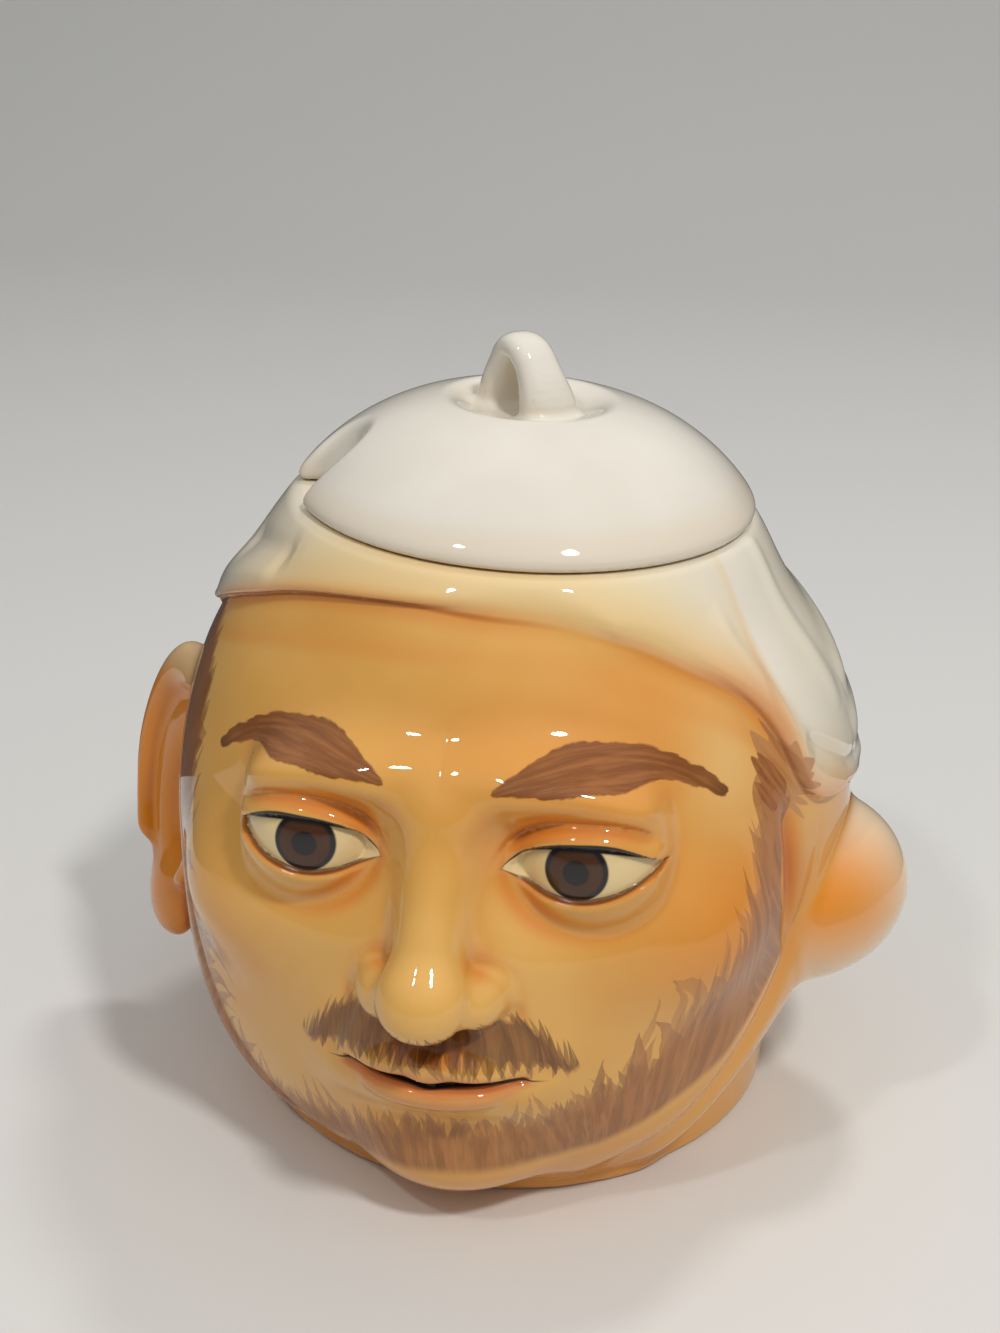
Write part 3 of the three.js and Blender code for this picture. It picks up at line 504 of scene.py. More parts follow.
def parted(points, quads, solid):
    """Points and corners of the quads, with a point for each sheet of skin where two sheets shared one."""
    corners, sizes = quads.ravel(), np.full(len(quads), 4)
    after = following(corners, sizes)
    sides = np.minimum(corners, after) * len(points) + np.maximum(corners, after)
    order = np.lexsort((np.repeat(solid, 4), sides))
    opposite = np.empty_like(order)
    opposite[order[0::2]], opposite[order[1::2]] = order[1::2], order[0::2]
    step, sheet = following(np.arange(len(corners)), sizes)[opposite], np.arange(len(corners))
    for _ in range(5):
        sheet = np.minimum(sheet, sheet[step])
        step = step[step]
    first = np.full(len(points), len(corners))
    np.minimum.at(first, corners, sheet)
    extra = sheet != first[corners]
    found, number = np.unique(sheet[extra], return_inverse=True)
    grown = np.vstack([points, points[corners[found]]])
    corners[extra] = len(points) + number
    return grown, corners


def split(points, corners, sizes, chosen):
    """Each chosen quad becomes four, and its neighbours take the new corners into their outlines."""
    count = len(points)
    after = following(corners, sizes)
    sides = np.minimum(corners, after) * count + np.maximum(corners, after)
    owner = np.repeat(np.arange(len(sizes)), sizes)
    halved = np.unique(sides[chosen[owner]])
    spot = np.minimum(np.searchsorted(halved, sides), len(halved) - 1)
    middle = np.where(halved[spot] == sides, count + spot, -1)
    at = (np.cumsum(sizes) - sizes)[chosen][:, None] + np.arange(4)
    quad, half = corners[at], middle[at]
    centre = count + len(halved) + np.arange(len(quad))
    small = np.stack([np.stack([quad[:, i], half[:, i], centre, half[:, i - 1]], 1) for i in range(4)], 1)
    kept = ~chosen[owner]
    woven = np.stack([corners[kept], middle[kept]], 1).ravel()
    used = woven >= 0
    grown = np.bincount(np.repeat(owner[kept], 2)[used], minlength=len(sizes))[~chosen]
    new = [points, (points[halved // count] + points[halved % count]) / 2, points[quad].mean(1)]
    new_sizes = np.append(np.full(4 * len(quad), 4), grown)
    return np.vstack(new), np.append(small.ravel(), woven[used]), new_sizes


def settled(form, points, corners, sizes):
    """The points spread evenly and moved on to the surface."""
    after = following(corners, sizes)
    hits = np.bincount(corners, minlength=len(points))[:, None]
    for _ in range(2):
        total = np.stack([np.bincount(corners, points[after, a], len(points)) for a in range(3)], 1)
        points = points + 0.5 * (total / hits - points)
    for _ in range(2):
        slope = gradient(form, points)
        move = form(*points.T)[:, None] * slope / np.maximum((slope**2).sum(1), 1e-4)[:, None]
        length = np.linalg.norm(move, axis=1, keepdims=True)
        points = points - move * np.minimum(1, 0.3 / np.maximum(length, 1e-9))
    return points


def in_scene(name, data):
    made = bpy.data.objects.new(name, data)
    bpy.context.scene.collection.objects.link(made)
    return made


def mesh_object(name, form, low, high, finer, fields, material):
    """A net over the form, split once or twice where finer says so, with the form's own normals."""
    points, quads, solid = surface(form, low, high, NET)
    points, corners = parted(points, quads, solid)
    sizes = np.full(len(quads), 4)
    points = settled(form, points, corners, sizes)
    for wanted in finer:
        owner = np.repeat(np.arange(len(sizes)), sizes)
        middles = [np.bincount(owner, points[corners, a], len(sizes)) / sizes for a in range(3)]
        points, corners, sizes = split(points, corners, sizes, (sizes == 4) & wanted(*middles))
        points = settled(form, points, corners, sizes)
    normals = gradient(form, points)
    normals /= np.maximum(np.linalg.norm(normals, axis=1, keepdims=True), 1e-6)
    mesh = bpy.data.meshes.new(name)
    mesh.vertices.add(len(points))
    mesh.vertices.foreach_set("co", (points * UNIT).ravel())
    mesh.loops.add(len(corners))
    mesh.loops.foreach_set("vertex_index", corners)
    mesh.polygons.add(len(sizes))
    mesh.polygons.foreach_set("loop_start", np.cumsum(sizes) - sizes)
    mesh.update(calc_edges=True)
    mesh.validate()
    mesh.shade_smooth()
    mesh.normals_split_custom_set_from_vertices(normals.tolist())
    for field, values in fields(points, normals).items():
        layer = mesh.attributes.new(field, "FLOAT", "POINT")
        layer.data.foreach_set("value", np.ascontiguousarray(values, dtype=np.float32))
    mesh.materials.append(material)
    return in_scene(name, mesh)


def shown_skin(x, y, z):
    """The front of the outer skin and the rim."""
    beside = (np.abs(x) > 41) & (y < 17) & (z < 62)
    return (hollow(x, y, z) > 1.5) & ((y < 6) | (z > RIM_HEIGHT - 5) | beside)


def sharp_places(x, y, z):
    """Along the eyelids, the lips, the nostrils, the tuft and the kerchief's edge in front."""
    ax = np.abs(x)
    upper, lower, t = lid_lines(ax, z)
    lids = np.minimum(np.abs(z - upper - 0.6), np.abs(z - lower)) < 1.5
    lids &= (np.abs(t) < 1.15) & (y < -25)
    lips = (np.abs(z - parting_height(ax)) < 1.3) & (ax < 12.5) & (y < -35)
    nostrils = (np.hypot(ax - 3.2, z - 34.8) < 3.2) & (y < -40)
    angle = turn_of(x, y)
    edge = (np.abs(over_edge(angle, z)) < 1.3) & (np.abs(angle) < 75)
    tuft = (np.abs(angle - 61.5) < 8) & (np.abs(z - 58) < 8.5)
    return (hollow(x, y, z) > 1.5) & (lids | lips | nostrils | edge | tuft)


def whole_lid(x, y, z):
    return np.full(np.shape(x), True)


# Paint: smooth fields that the glaze's colours are laid out by, in millimetres or from 0 to 1

# The beard's inner edge from the ear's side round the chin to the knot's side: degrees and height
BEARD_EDGE = [
    (-95, 71.5), (-80, 71), (-72, 69.4), (-66, 66.4), (-62, 63.6), (-59.5, 60), (-58.5, 57), (-58, 53.5),
    (-57, 50), (-55.5, 46), (-54, 41), (-53, 35), (-53, 29), (-53, 23), (-51, 17.5), (-46, 13.5),
    (-40, 10.5), (-32, 9.6), (-24, 10.4), (-14, 12.6), (-6, 15), (1, 16), (8, 16.4), (16, 17.2),
    (22, 19), (29, 21.6), (35, 25), (40, 28.4), (44, 32.6), (47, 37.6), (50, 41.5), (52, 45.5),
    (53.5, 49), (54.6, 52), (55.2, 55), (56, 57.5), (59, 58), (61.6, 56.4), (62, 54.5), (60.6, 52.5),
    (59, 50), (57.8, 46), (58, 41), (60, 34), (62, 30),
]
# Where the beard ends below, in degrees and height
BEARD_FOOT = [
    (-104, 60), (-96, 53), (-88, 44), (-75, 28), (-62, 16), (-50, 8.5), (-40, 5.5), (-26, 7),
    (-12, 10), (0, 11.4), (20, 11.4), (27, 12.7), (34, 15.3), (40, 18.5), (48, 22.5), (51, 25.3),
    (55, 30.2), (58, 33.6), (61, 36.5), (63, 41), (64, 47), (68, 50), (90, 52),
]
# Brush strokes of the tuft by the kerchief's edge: tip, root and half the width
TUFT = [
    ((59.5, 65.2), (61.3, 62.8), 0.35), ((60.6, 64.6), (61.8, 62.6), 0.3),
    ((56.9, 64), (61.2, 58.2), 1.7), ((61.2, 63.4), (62.3, 57), 1.5), ((63.6, 62), (62.4, 56.6), 1.4),
    ((67.4, 58.9), (62.6, 58.6), 1.3), ((66.8, 57.4), (62.8, 57.2), 0.8),
    ((68.4, 55.5), (62.6, 56.8), 0.65), ((67.2, 54.4), (63, 55.8), 0.45),
    ((67, 52.9), (62.8, 55), 0.45), ((65.2, 51.6), (62.4, 54.2), 0.4),
]
TUFT_DARK = [
    ((55.4, 61.4), (59.8, 56.4), 1.35), ((57, 61.6), (60.8, 57), 1.0), ((54.8, 58.6), (58, 55.4), 0.9),
]
BROW = [(6.8, 63.6), (10.5, 64.8), (16, 65.6), (22.5, 64.6), (28, 61.8), (31.6, 59)]
MOUSTACHE = [(0, 33.6), (5, 33.5), (10, 32.1), (14, 29.6), (18, 26)]


def recess(form, points, normals, reach):
    """How deep a point lies in a hollow of about that reach, 0 on open skin; the glazes darken by it as
    painted shade.
    """
    out = form(*(points + normals * reach).T)
    return np.clip(1 - out / reach, 0, 1)


def smooth_line(points, count):
    """A smooth line through a few points."""
    pts = np.array(points, float)
    t = np.linspace(0, len(pts) - 1, count)
    i = np.clip(t.astype(int), 0, len(pts) - 2)
    k = (t - i)[:, None]
    p0, p1, p2, p3 = pts[np.maximum(i - 1, 0)], pts[i], pts[i + 1], pts[np.minimum(i + 2, len(pts) - 1)]
    bend = (2 * p0 - 5 * p1 + 4 * p2 - p3) * k**2 + (3 * p1 - p0 - 3 * p2 + p3) * k**3
    return 0.5 * (2 * p1 + (p2 - p0) * k + bend)


def line_side(x, z, line):
    """Distance to a line with the sign of its side, and how far along the line that is."""
    gap, along, _ = line_gap(x, z, line)
    runs = np.concatenate([[0], np.cumsum(np.hypot(*np.diff(line, axis=0).T))])
    i = np.clip(np.searchsorted(runs, along, side="right") - 1, 0, len(line) - 2)
    dx, dz = (line[i + 1] - line[i]).T
    return gap * np.sign((x - line[i, 0]) * dz - (z - line[i, 1]) * dx), along


def strokes(angle, z, lines):
    """How far inside the nearest of some pointed brush strokes a place lies."""
    best = np.full(np.shape(z), -99.0)
    for tip, root, half in lines:
        gap, along, length = line_gap(angle * ROUND, z, [(a * ROUND, h) for a, h in (tip, root)])
        best = np.maximum(best, half * np.minimum(1.8 * along / length + 0.12, 1) ** 0.7 - gap)
    return best


def stroke_lean(angle):
    """How far the beard's strokes lean along its edge, so that their tips point up at the sides too."""
    return 1.7 * ease(18, 52, angle) - 1.2 * ease(-34, -56, angle)


def beard_fields(angle, z):
    """Depth inside the beard, place across its strokes, which are wider where they lean, and their reach."""
    line = smooth_line([(a * ROUND, h) for a, h in BEARD_EDGE], 240)
    depth, along = line_side(angle * ROUND, z, line)
    runs = np.concatenate([[0], np.cumsum(np.hypot(*np.diff(line, axis=0).T))])
    broad = 1 + 0.9 * np.abs(stroke_lean(line[:, 0] / ROUND))
    strokes_passed = np.concatenate([[0], np.cumsum(np.diff(runs) / broad[1:])])
    lean = stroke_lean(angle)
    front = ease(-60, -40, angle) * ease(55, 40, angle)
    reach = 3.2 + 7.2 * front - 4 * ease(20, 8, np.abs(angle))
    outer_side = runs[int(239 * BEARD_EDGE.index((59, 58)) / (len(BEARD_EDGE) - 1))]
    return {
        "beard_in": depth,
        "stroke_at": np.interp(along, runs, strokes_passed) + depth * lean / (1 + 0.9 * np.abs(lean)),
        "beard_reach": 0.5 + (reach - 0.5) * ease(outer_side + 2, outer_side - 1, along),
    }


def jar_fields(points, normals):
    x, y, z = points.T
    ax = np.abs(x)
    angle = turn_of(x, y)
    inner = hollow(x, y, z)
    beard = beard_fields(angle, z)
    brow_side, brow_along = line_side(ax, z, smooth_line(BROW, 40))
    share = brow_along / 28
    brow_half = 0.3 + 1.9 * ease(-0.08, 0.3, share) * np.clip((1 - share) * 1.3, 0, 1) ** 0.8
    tash_side, tash_along = line_side(ax, z, smooth_line(MOUSTACHE, 40))
    upper, lower, t = lid_lines(ax, z)
    return {
        "over_edge": over_edge(angle, z),
        "turn": angle,
        "height": z,
        "depth": y,
        "sideways": x,
        "inside": ease(1.2, 0.2, inner) * ease(RIM_HEIGHT + 1, RIM_HEIGHT - 2, z),
        # How deep each point lies in narrow creases and in wider hollows, for the painted shade there
        "crease_shade": recess(jar, points, normals, 1.6),
        "hollow_shade": recess(jar, points, normals, 5.0),
        **beard,
        "above_jaw": z - np.interp(angle, *zip(*BEARD_FOOT)),
        "tuft": strokes(angle, z, TUFT),
        "tuft_dark": strokes(angle, z, TUFT_DARK),
        "brow": np.abs(brow_side) - brow_half,
        "brow_side": brow_side,
        "brow_along": brow_along,
        "tash_down": tash_side,
        "tash_along": tash_along * np.sign(x),
        "eye_x": ax - EYE_X,
        "eye_z": z - EYE_Z,
        "lid_upper": z - upper,
        "lid_lower": z - lower,
        "mouth_line": z - parting_height(ax),
        "ear_skin": ear(x, y, z),
        "knot_skin": knot(x, y, z),
    }


def lid_fields(points, normals):
    x, y, z = points.T
    out = ease(LID_RADIUS - 6, LID_RADIUS - 0.5, np.hypot(x - LID_X, y))
    return {
        "lid_edge": out * ease(7, 3, z - RIM_HEIGHT),
        # How deep each point lies in a hollow, for the painted shade there
        "hollow_shade": recess(lid, points, normals, 5.0),
    }


# Shader wiring

def linear(r, g, b):
    """A colour given as it looks on a screen, 0 to 255, as the shader takes it."""
    shares = (v / 255 for v in (r, g, b))
    return tuple(((s + 0.055) / 1.055) ** 2.4 if s > 0.04 else s / 12.92 for s in shares) + (1.0,)


class Wiring:
    """Short ways to add nodes to one tree."""

    def __init__(self, tree, groups=None):
        self.tree = tree
        self.groups = groups
        self.fields = {}

    def node(self, kind):
        return self.tree.nodes.new(kind)

    def feed(self, socket, value):
        if isinstance(value, bpy.types.NodeSocket):
            self.tree.links.new(value, socket)
        else:
            socket.default_value = value

    def math(self, operation, a, b=None, c=None):
        node = self.node("ShaderNodeMath")
        node.operation = operation
        for socket, value in zip(node.inputs, (a, b, c)):
            if value is not None:
                self.feed(socket, value)
        return node.outputs[0]

    def add(self, a, b):
        return self.math("ADD", a, b)

    def times(self, first, *others):
        for other in others:
            first = self.math("MULTIPLY", first, other)
        return first

    def minus(self, a, b):
        return self.math("SUBTRACT", a, b)

    def share(self, a, b):
        return self.math("DIVIDE", a, b)

    def larger(self, a, b):
        return self.math("MAXIMUM", a, b)

    def absolute(self, a):
        return self.math("ABSOLUTE", a)

    def scaled(self, a, b, c):
        return self.math("MULTIPLY_ADD", a, b, c)

    def spray(self, turn, height, wide, tall):
        """A sprayed spot at a place round the head, in degrees and height."""
        across, up = self.minus(self.field("turn"), turn), self.minus(self.field("height"), height)
        return self.group("spray", across, up, wide, tall)["Spray"]

    def ease(self, start, end, value):
        node = self.node("ShaderNodeMapRange")
        node.interpolation_type = "SMOOTHSTEP"
        self.feed(node.inputs["Value"], value)
        ends = (min(start, end), max(start, end), float(start > end), float(start <= end))
        for name, end_value in zip(("From Min", "From Max", "To Min", "To Max"), ends):
            node.inputs[name].default_value = end_value
        return node.outputs["Result"]

    def square(self, a):
        return self.times(a, a)

    def mix(self, share, a, b):
        node = self.node("ShaderNodeMix")
        node.data_type = "RGBA"
        self.feed(node.inputs[0], share)
        self.feed(node.inputs[6], a)
        self.feed(node.inputs[7], b)
        return node.outputs[2]

    def field(self, name):
        if name not in self.fields:
            node = self.node("ShaderNodeAttribute")
            node.attribute_type = "GEOMETRY"
            node.attribute_name = name
            self.fields[name] = node.outputs["Fac"]
        return self.fields[name]

    def vector(self, x, y, z):
        node = self.node("ShaderNodeCombineXYZ")
        for socket, value in zip(node.inputs, (x, y, z)):
            self.feed(socket, value)
        return node.outputs[0]

    def noise(self, at, scale, detail=2.0, roughness=0.5):
        node = self.node("ShaderNodeTexNoise")
        for name, value in zip(("Vector", "Scale", "Detail", "Roughness"), (at, scale, detail, roughness)):
            self.feed(node.inputs[name], value)
        return node.outputs["Fac"]

    def channels(self, colour):
        node = self.node("ShaderNodeSeparateColor")
        self.feed(node.inputs[0], colour)
        return node.outputs

    def group(self, name, *values):
        """The outputs of a shared group, whose inputs take the values in their order."""
        node = self.node("ShaderNodeGroup")
        node.node_tree = self.groups[name]
        for socket, value in zip(node.inputs, values):
            self.feed(socket, value)
        return node.outputs


def new_group(name, inputs, outputs):
    tree = bpy.data.node_groups.new(name, "ShaderNodeTree")
    for label, kind, value in inputs:
        socket = tree.interface.new_socket(name=label, in_out="INPUT", socket_type="NodeSocket" + kind)
        if value is not None:
            socket.default_value = value
    for label, kind in outputs:
        tree.interface.new_socket(name=label, in_out="OUTPUT", socket_type="NodeSocket" + kind)
    start, end = tree.nodes.new("NodeGroupInput"), tree.nodes.new("NodeGroupOutput")
    return tree, Wiring(tree), start.outputs, end.inputs


def brush_strokes_group():
    """Cover of a row of brush strokes side by side, pointed, whose tips end at different depths."""
    tree, w, given, out = new_group(
        "brush strokes",
        [("Along", "Float", 0.0), ("Depth", "Float", 0.0), ("Width", "Float", 1.2), ("Reach", "Float", 4.0)],
        [("Cover", "Float"), ("Streak", "Float")],
    )
    along, depth, width, reach = (given[name] for name in ("Along", "Depth", "Width", "Reach"))
    bare = 1.0
    for turn, lean in enumerate((-0.25, 0.1, 0.32)):
        drift = w.vector(w.times(along, 0.12), w.times(depth, 0.16), turn * 7.1)
        wander = w.noise(drift, 1.0)
        bend = w.scaled(wander, 2.4, w.times(depth, lean))
        place = w.share(w.add(w.add(along, bend), turn * 3.7), width)
        cell = w.node("ShaderNodeTexVoronoi")
        cell.voronoi_dimensions = "1D"
        w.feed(cell.inputs["W"], place)
        cell.inputs["Scale"].default_value = 1.0
        cell.inputs["Randomness"].default_value = 0.8
        chance = w.channels(cell.outputs["Color"])
        middle = w.larger(w.minus(1.0, w.times(cell.outputs["Distance"], 2.1)), 0.0)
        length = w.times(w.scaled(chance[0], 0.8, 0.2), reach)
        tip = w.times(length, middle)
        stroke = w.ease(-0.12, 0.15, w.add(depth, tip))
        strength = w.scaled(chance[1], 0.45, 0.35)
        bare = w.times(bare, w.minus(1.0, w.times(stroke, strength)))
    streak_at = w.vector(w.share(along, width), w.times(depth, 0.07), 0.0)
    w.feed(out["Cover"], w.minus(1.0, bare))
    w.feed(out["Streak"], w.noise(streak_at, 2.0, 2.0, 0.6))
    return tree


def kiln_marks_group():
    """Small dark specks, the glaze's slight waviness and soft clouds, for both pieces."""
    tree, w, given, out = new_group(
        "kiln marks",
        [("Place", "Vector", None), ("Specks", "Float", 1.0)],
        [("Speck", "Float"), ("Wave", "Float"), ("Cloud", "Float")],
    )
    cell = w.node("ShaderNodeTexVoronoi")
    w.feed(cell.inputs["Vector"], given["Place"])
    cell.inputs["Scale"].default_value = 110.0
    chance = w.channels(cell.outputs["Color"])
    rare = w.ease(0.955, 0.965, chance[0])
    size = w.scaled(chance[1], 0.05, 0.015)
    dot = w.ease(0.012, -0.012, w.minus(cell.outputs["Distance"], size))
    w.feed(out["Speck"], w.times(rare, dot, given["Specks"]))
    w.feed(out["Wave"], w.noise(given["Place"], 60.0, 2.0))
    w.feed(out["Cloud"], w.noise(given["Place"], 38.0, 3.0))
    return tree


SPRAY_INPUTS = [("Across", 0.0), ("Up", 0.0), ("Width", 8.0), ("Height", 8.0)]


def airbrush_group():
    """A soft sprayed spot round a place, in the units of its inputs."""
    tree, w, given, out = new_group(
        "airbrush",
        [(label, "Float", value) for label, value in SPRAY_INPUTS],
        [("Spray", "Float")],
    )
    across = w.share(given["Across"], given["Width"])
    up = w.share(given["Up"], given["Height"])
    square = w.add(w.times(across, across), w.times(up, up))
    w.feed(out["Spray"], w.math("POWER", 2.718, w.times(square, -1.0)))
    return tree


# Clear coat over a matt body
GLAZE = {
    "Roughness": 0.5,
    "Specular IOR Level": 0.12,
    "Coat Weight": 1.0,
    "Coat Roughness": 0.035,
    "Coat IOR": 1.45,
}


def glazed(name, colour_of, groups, specks):
    """A clear gloss glaze over the colour that colour_of lays out."""
    material = bpy.data.materials.new(name)
    material.use_nodes = True
    tree = material.node_tree
    w = Wiring(tree, groups)
    shader = tree.nodes["Principled BSDF"]
    marks = w.group("marks", w.node("ShaderNodeTexCoord").outputs["Object"], specks)
    colour = w.mix(w.times(marks["Speck"], 0.75), colour_of(w, marks["Cloud"]), SPECK)
    w.feed(shader.inputs["Base Color"], colour)
    for socket, value in GLAZE.items():
        shader.inputs[socket].default_value = value
    relief = w.node("ShaderNodeBump")
    relief.inputs["Strength"].default_value = 0.1
    relief.inputs["Distance"].default_value = 0.001
    w.feed(relief.inputs["Height"], marks["Wave"])
    w.feed(shader.inputs["Coat Normal"], relief.outputs[0])
    return material


WHITE = linear(238, 231, 216)
WARM_WHITE = linear(237, 219, 178)
CREAM = linear(234, 196, 128)
TAN = linear(225, 166, 80)
PALE_TAN = linear(233, 181, 98)
ORANGE = linear(222, 132, 46)
RUST = linear(178, 92, 26)
HAIR = linear(124, 68, 30)
HAIR_DARK = linear(92, 48, 18)
HAIR_LIGHT = linear(158, 98, 52)
BEARD = linear(172, 110, 64)
BEARD_DARK = linear(144, 90, 50)
BEARD_LIGHT = linear(192, 136, 86)
SIDEBURN = linear(128, 62, 4)
LIP = linear(214, 130, 82)
BLACK = linear(30, 26, 26)
EYE_WHITE = linear(234, 208, 154)
IRIS = linear(74, 44, 24)
SPECK = linear(86, 62, 44)


def lid_colour(w, cloud):
    base = w.mix(w.ease(0.35, 0.7, cloud), linear(235, 230, 219), linear(227, 221, 209))
    base = w.mix(w.times(w.field("lid_edge"), 0.6), base, linear(228, 212, 188))
    # Painted shade: warmer and darker in the dish round the loop and in the lid's other hollows
    return w.mix(w.times(w.ease(0.25, 0.9, w.field("hollow_shade")), 0.3), base, linear(218, 198, 164))


# Turn, height, width, height of the spot and how strong it is
ORANGE_SPRAYS = [(46, 44, 16, 13, 0.7), (-40, 34, 12, 10, 0.4), (30, 67, 30, 10, 0.5)]


def skin_colour(w, cloud):
    """Tan in the open, orange sprayed on the cheeks and towards the neck, and orange and rust in the hollows:
    painted shade, partly the jar's own airbrush.
    """
    f = w.field
    skin = w.mix(w.ease(0.3, 0.7, cloud), TAN, PALE_TAN)
    for turn, height, wide, tall, share in ORANGE_SPRAYS:
        skin = w.mix(w.times(w.spray(turn, height, wide, tall), share), skin, ORANGE)
    # Painted highlight: a paler spot on the temple, between the eye's outer corner and the tuft
    pale = w.spray(50.0, 62.0, 8.0, 8.0)
    skin = w.mix(w.times(pale, 0.6), skin, linear(238, 200, 134))
    # Painted shade: orange in the hollows, partly the jar's own airbrush, and rust in the narrow creases,
    # weaker just under the kerchief's edge and below the jaw
    hollow_shade_share = w.scaled(w.ease(-6.0, -1.5, f("over_edge")), -0.68, 0.8)
    hollow_shade_share = w.times(hollow_shade_share, w.scaled(w.ease(-2.0, 2.0, f("above_jaw")), 0.6, 0.4))
    skin = w.mix(w.times(w.ease(0.06, 0.55, f("hollow_shade")), hollow_shade_share), skin, ORANGE)
    skin = w.mix(w.times(w.ease(0.15, 0.8, f("crease_shade")), hollow_shade_share, 0.5), skin, RUST)
    return w.mix(w.times(w.ease(2.0, -3.0, f("above_jaw")), 0.35), skin, ORANGE)


def beard_over(w, colour):
    """Brown along the jaw, with long and short strokes whose tips reach in over the cheeks and the chin."""
    f = w.field
    turn = f("turn")
    depth, reach = f("beard_in"), f("beard_reach")
    long = w.group("strokes", f("stroke_at"), depth, 2.5, reach)
    short = w.group("strokes", w.add(f("stroke_at"), 31.0), depth, 1.4, w.times(reach, 0.6))
    place = w.times(w.ease(0.3, -0.3, f("over_edge")), w.ease(-1.2, 1.0, f("above_jaw")))
    solid = w.times(w.ease(0.0, 5.0, depth), 0.8)
    hair = w.mix(w.ease(0.35, 0.65, long["Streak"]), BEARD, BEARD_DARK)
    hair = w.mix(w.times(w.ease(0.5, 0.75, short["Streak"]), 0.6), hair, BEARD_LIGHT)
    hair = w.mix(w.times(w.ease(-50.0, -56.0, turn), w.ease(40.0, 48.0, f("height"))), hair, SIDEBURN)
    cover = w.larger(w.larger(long["Cover"], short["Cover"]), solid)
    return w.mix(w.times(cover, 0.95, place), colour, hair)


def tuft_over(w, colour):
    """The tuft's broad strokes, which run over the kerchief's edge, with darker ones at its left."""
    f = w.field
    across = w.add(f("turn"), w.times(f("height"), 0.8))
    streak = w.noise(w.vector(across, w.times(f("height"), 0.15), 0.0), 0.7, 2.0)
    light = w.mix(w.ease(0.4, 0.65, streak), BEARD_LIGHT, BEARD)
    colour = w.mix(w.times(w.ease(-0.1, 0.12, f("tuft")), 0.85), colour, light)
    dark = w.mix(w.ease(0.35, 0.6, streak), HAIR, BEARD)
    return w.mix(w.times(w.ease(-0.1, 0.12, f("tuft_dark")), 0.85), colour, dark)


def moustache_over(w, skin):
    """Strokes that hang below the nose, fan out and thin to a point past the corners of the mouth."""
    f = w.field
    thin = w.ease(20.0, 9.0, w.absolute(f("tash_along")))
    half = w.scaled(thin, 2.3, -0.1)
    fan = w.share(f("tash_along"), w.scaled(f("tash_down"), 0.07, 1.0))
    up = w.group("strokes", fan, w.add(half, f("tash_down")), 1.5, 2.2)
    depth, reach = w.minus(half, f("tash_down")), w.scaled(thin, 3.0, 1.8)
    down = w.group("strokes", w.add(fan, 40.0), depth, 1.5, reach)
    cover = w.times(up["Cover"], down["Cover"])
    cover = w.times(cover, w.ease(0.01, 0.08, thin), w.ease(-18.0, -26.0, f("depth")))
    hair = w.mix(w.ease(0.35, 0.6, down["Streak"]), HAIR, HAIR_DARK)
    hair = w.mix(w.ease(0.58, 0.75, up["Streak"]), hair, HAIR_LIGHT)
    return w.mix(cover, skin, hair)


def brows_over(w, skin):
    """Two brown brush strokes laid along the brow bones, darker at their ends."""
    f = w.field
    uneven = w.noise(w.vector(w.times(f("brow_along"), 0.5), f("brow_side"), 0.0), 1.0)
    ragged = w.scaled(uneven, 0.8, -0.4)
    cover = w.times(w.ease(0.12, -0.12, w.add(f("brow"), ragged)), w.ease(-10.0, -18.0, f("depth")))
    streak_at = w.vector(w.times(f("brow_along"), 0.06), w.times(f("brow_side"), 0.9), 3.0)
    streak = w.noise(streak_at, 2.0, 3.0, 0.6)
    hair = w.mix(w.ease(0.4, 0.7, streak), HAIR, HAIR_LIGHT)
    hair = w.mix(w.ease(24.0, 28.0, f("brow_along")), hair, HAIR_DARK)
    return w.mix(w.times(cover, 0.93), skin, hair)


def eyes_over(w, skin):
    """A cream eye with a dark iris, a bold line on the upper lid and a fine one below."""
    f = w.field
    front = w.ease(-18.0, -26.0, f("depth"))
    across, up = f("eye_x"), f("eye_z")
    opening = w.times(w.ease(0.1, -0.1, f("lid_upper")), w.ease(-0.1, 0.1, f("lid_lower")))
    opening = w.times(opening, w.ease(9.3, 8.9, w.absolute(across)), front)
    iris = w.math("SQRT", w.add(w.square(w.add(across, 0.3)), w.square(w.minus(up, 0.8))))
    ball = w.mix(w.ease(3.7, 3.4, iris), EYE_WHITE, IRIS)
    ball = w.mix(w.ease(1.7, 1.4, iris), ball, BLACK)
    ball = w.mix(w.times(w.ease(2.9, 3.3, iris), w.ease(3.9, 3.6, iris)), ball, BLACK)
    skin = w.mix(opening, skin, ball)
    share = w.share(across, 9.6)
    front = w.times(front, w.ease(9.8, 9.2, w.absolute(across)))
    taper = w.minus(1.0, w.math("POWER", w.absolute(share), 3.0))
    thick = w.times(w.scaled(share, 0.25, 0.62), w.larger(taper, 0.0))
    lash = w.ease(0.1, -0.1, w.minus(w.absolute(w.minus(f("lid_upper"), 0.1)), thick))
    skin = w.mix(w.times(lash, front), skin, BLACK)
    fine = w.ease(0.1, -0.1, w.minus(w.absolute(f("lid_lower")), w.times(w.larger(taper, 0.0), 0.26)))
    return w.mix(w.times(fine, front, 0.8), skin, HAIR_DARK)


def mouth_over(w, skin):
    """Faint warm lips and one dark brush line where they meet."""
    f = w.field
    across = w.absolute(f("sideways"))
    front = w.ease(-22.0, -30.0, f("depth"))
    taper = w.minus(1.0, w.square(w.share(across, 12.0)))
    band = w.ease(0.7, -0.7, w.minus(w.absolute(w.add(f("mouth_line"), 0.6)), w.times(taper, 3.0)))
    skin = w.mix(w.times(band, front, 0.5), skin, LIP)
    line = w.ease(0.1, -0.1, w.minus(w.absolute(f("mouth_line")), w.scaled(taper, 0.4, 0.1)))
    return w.mix(w.times(line, front), skin, BLACK)


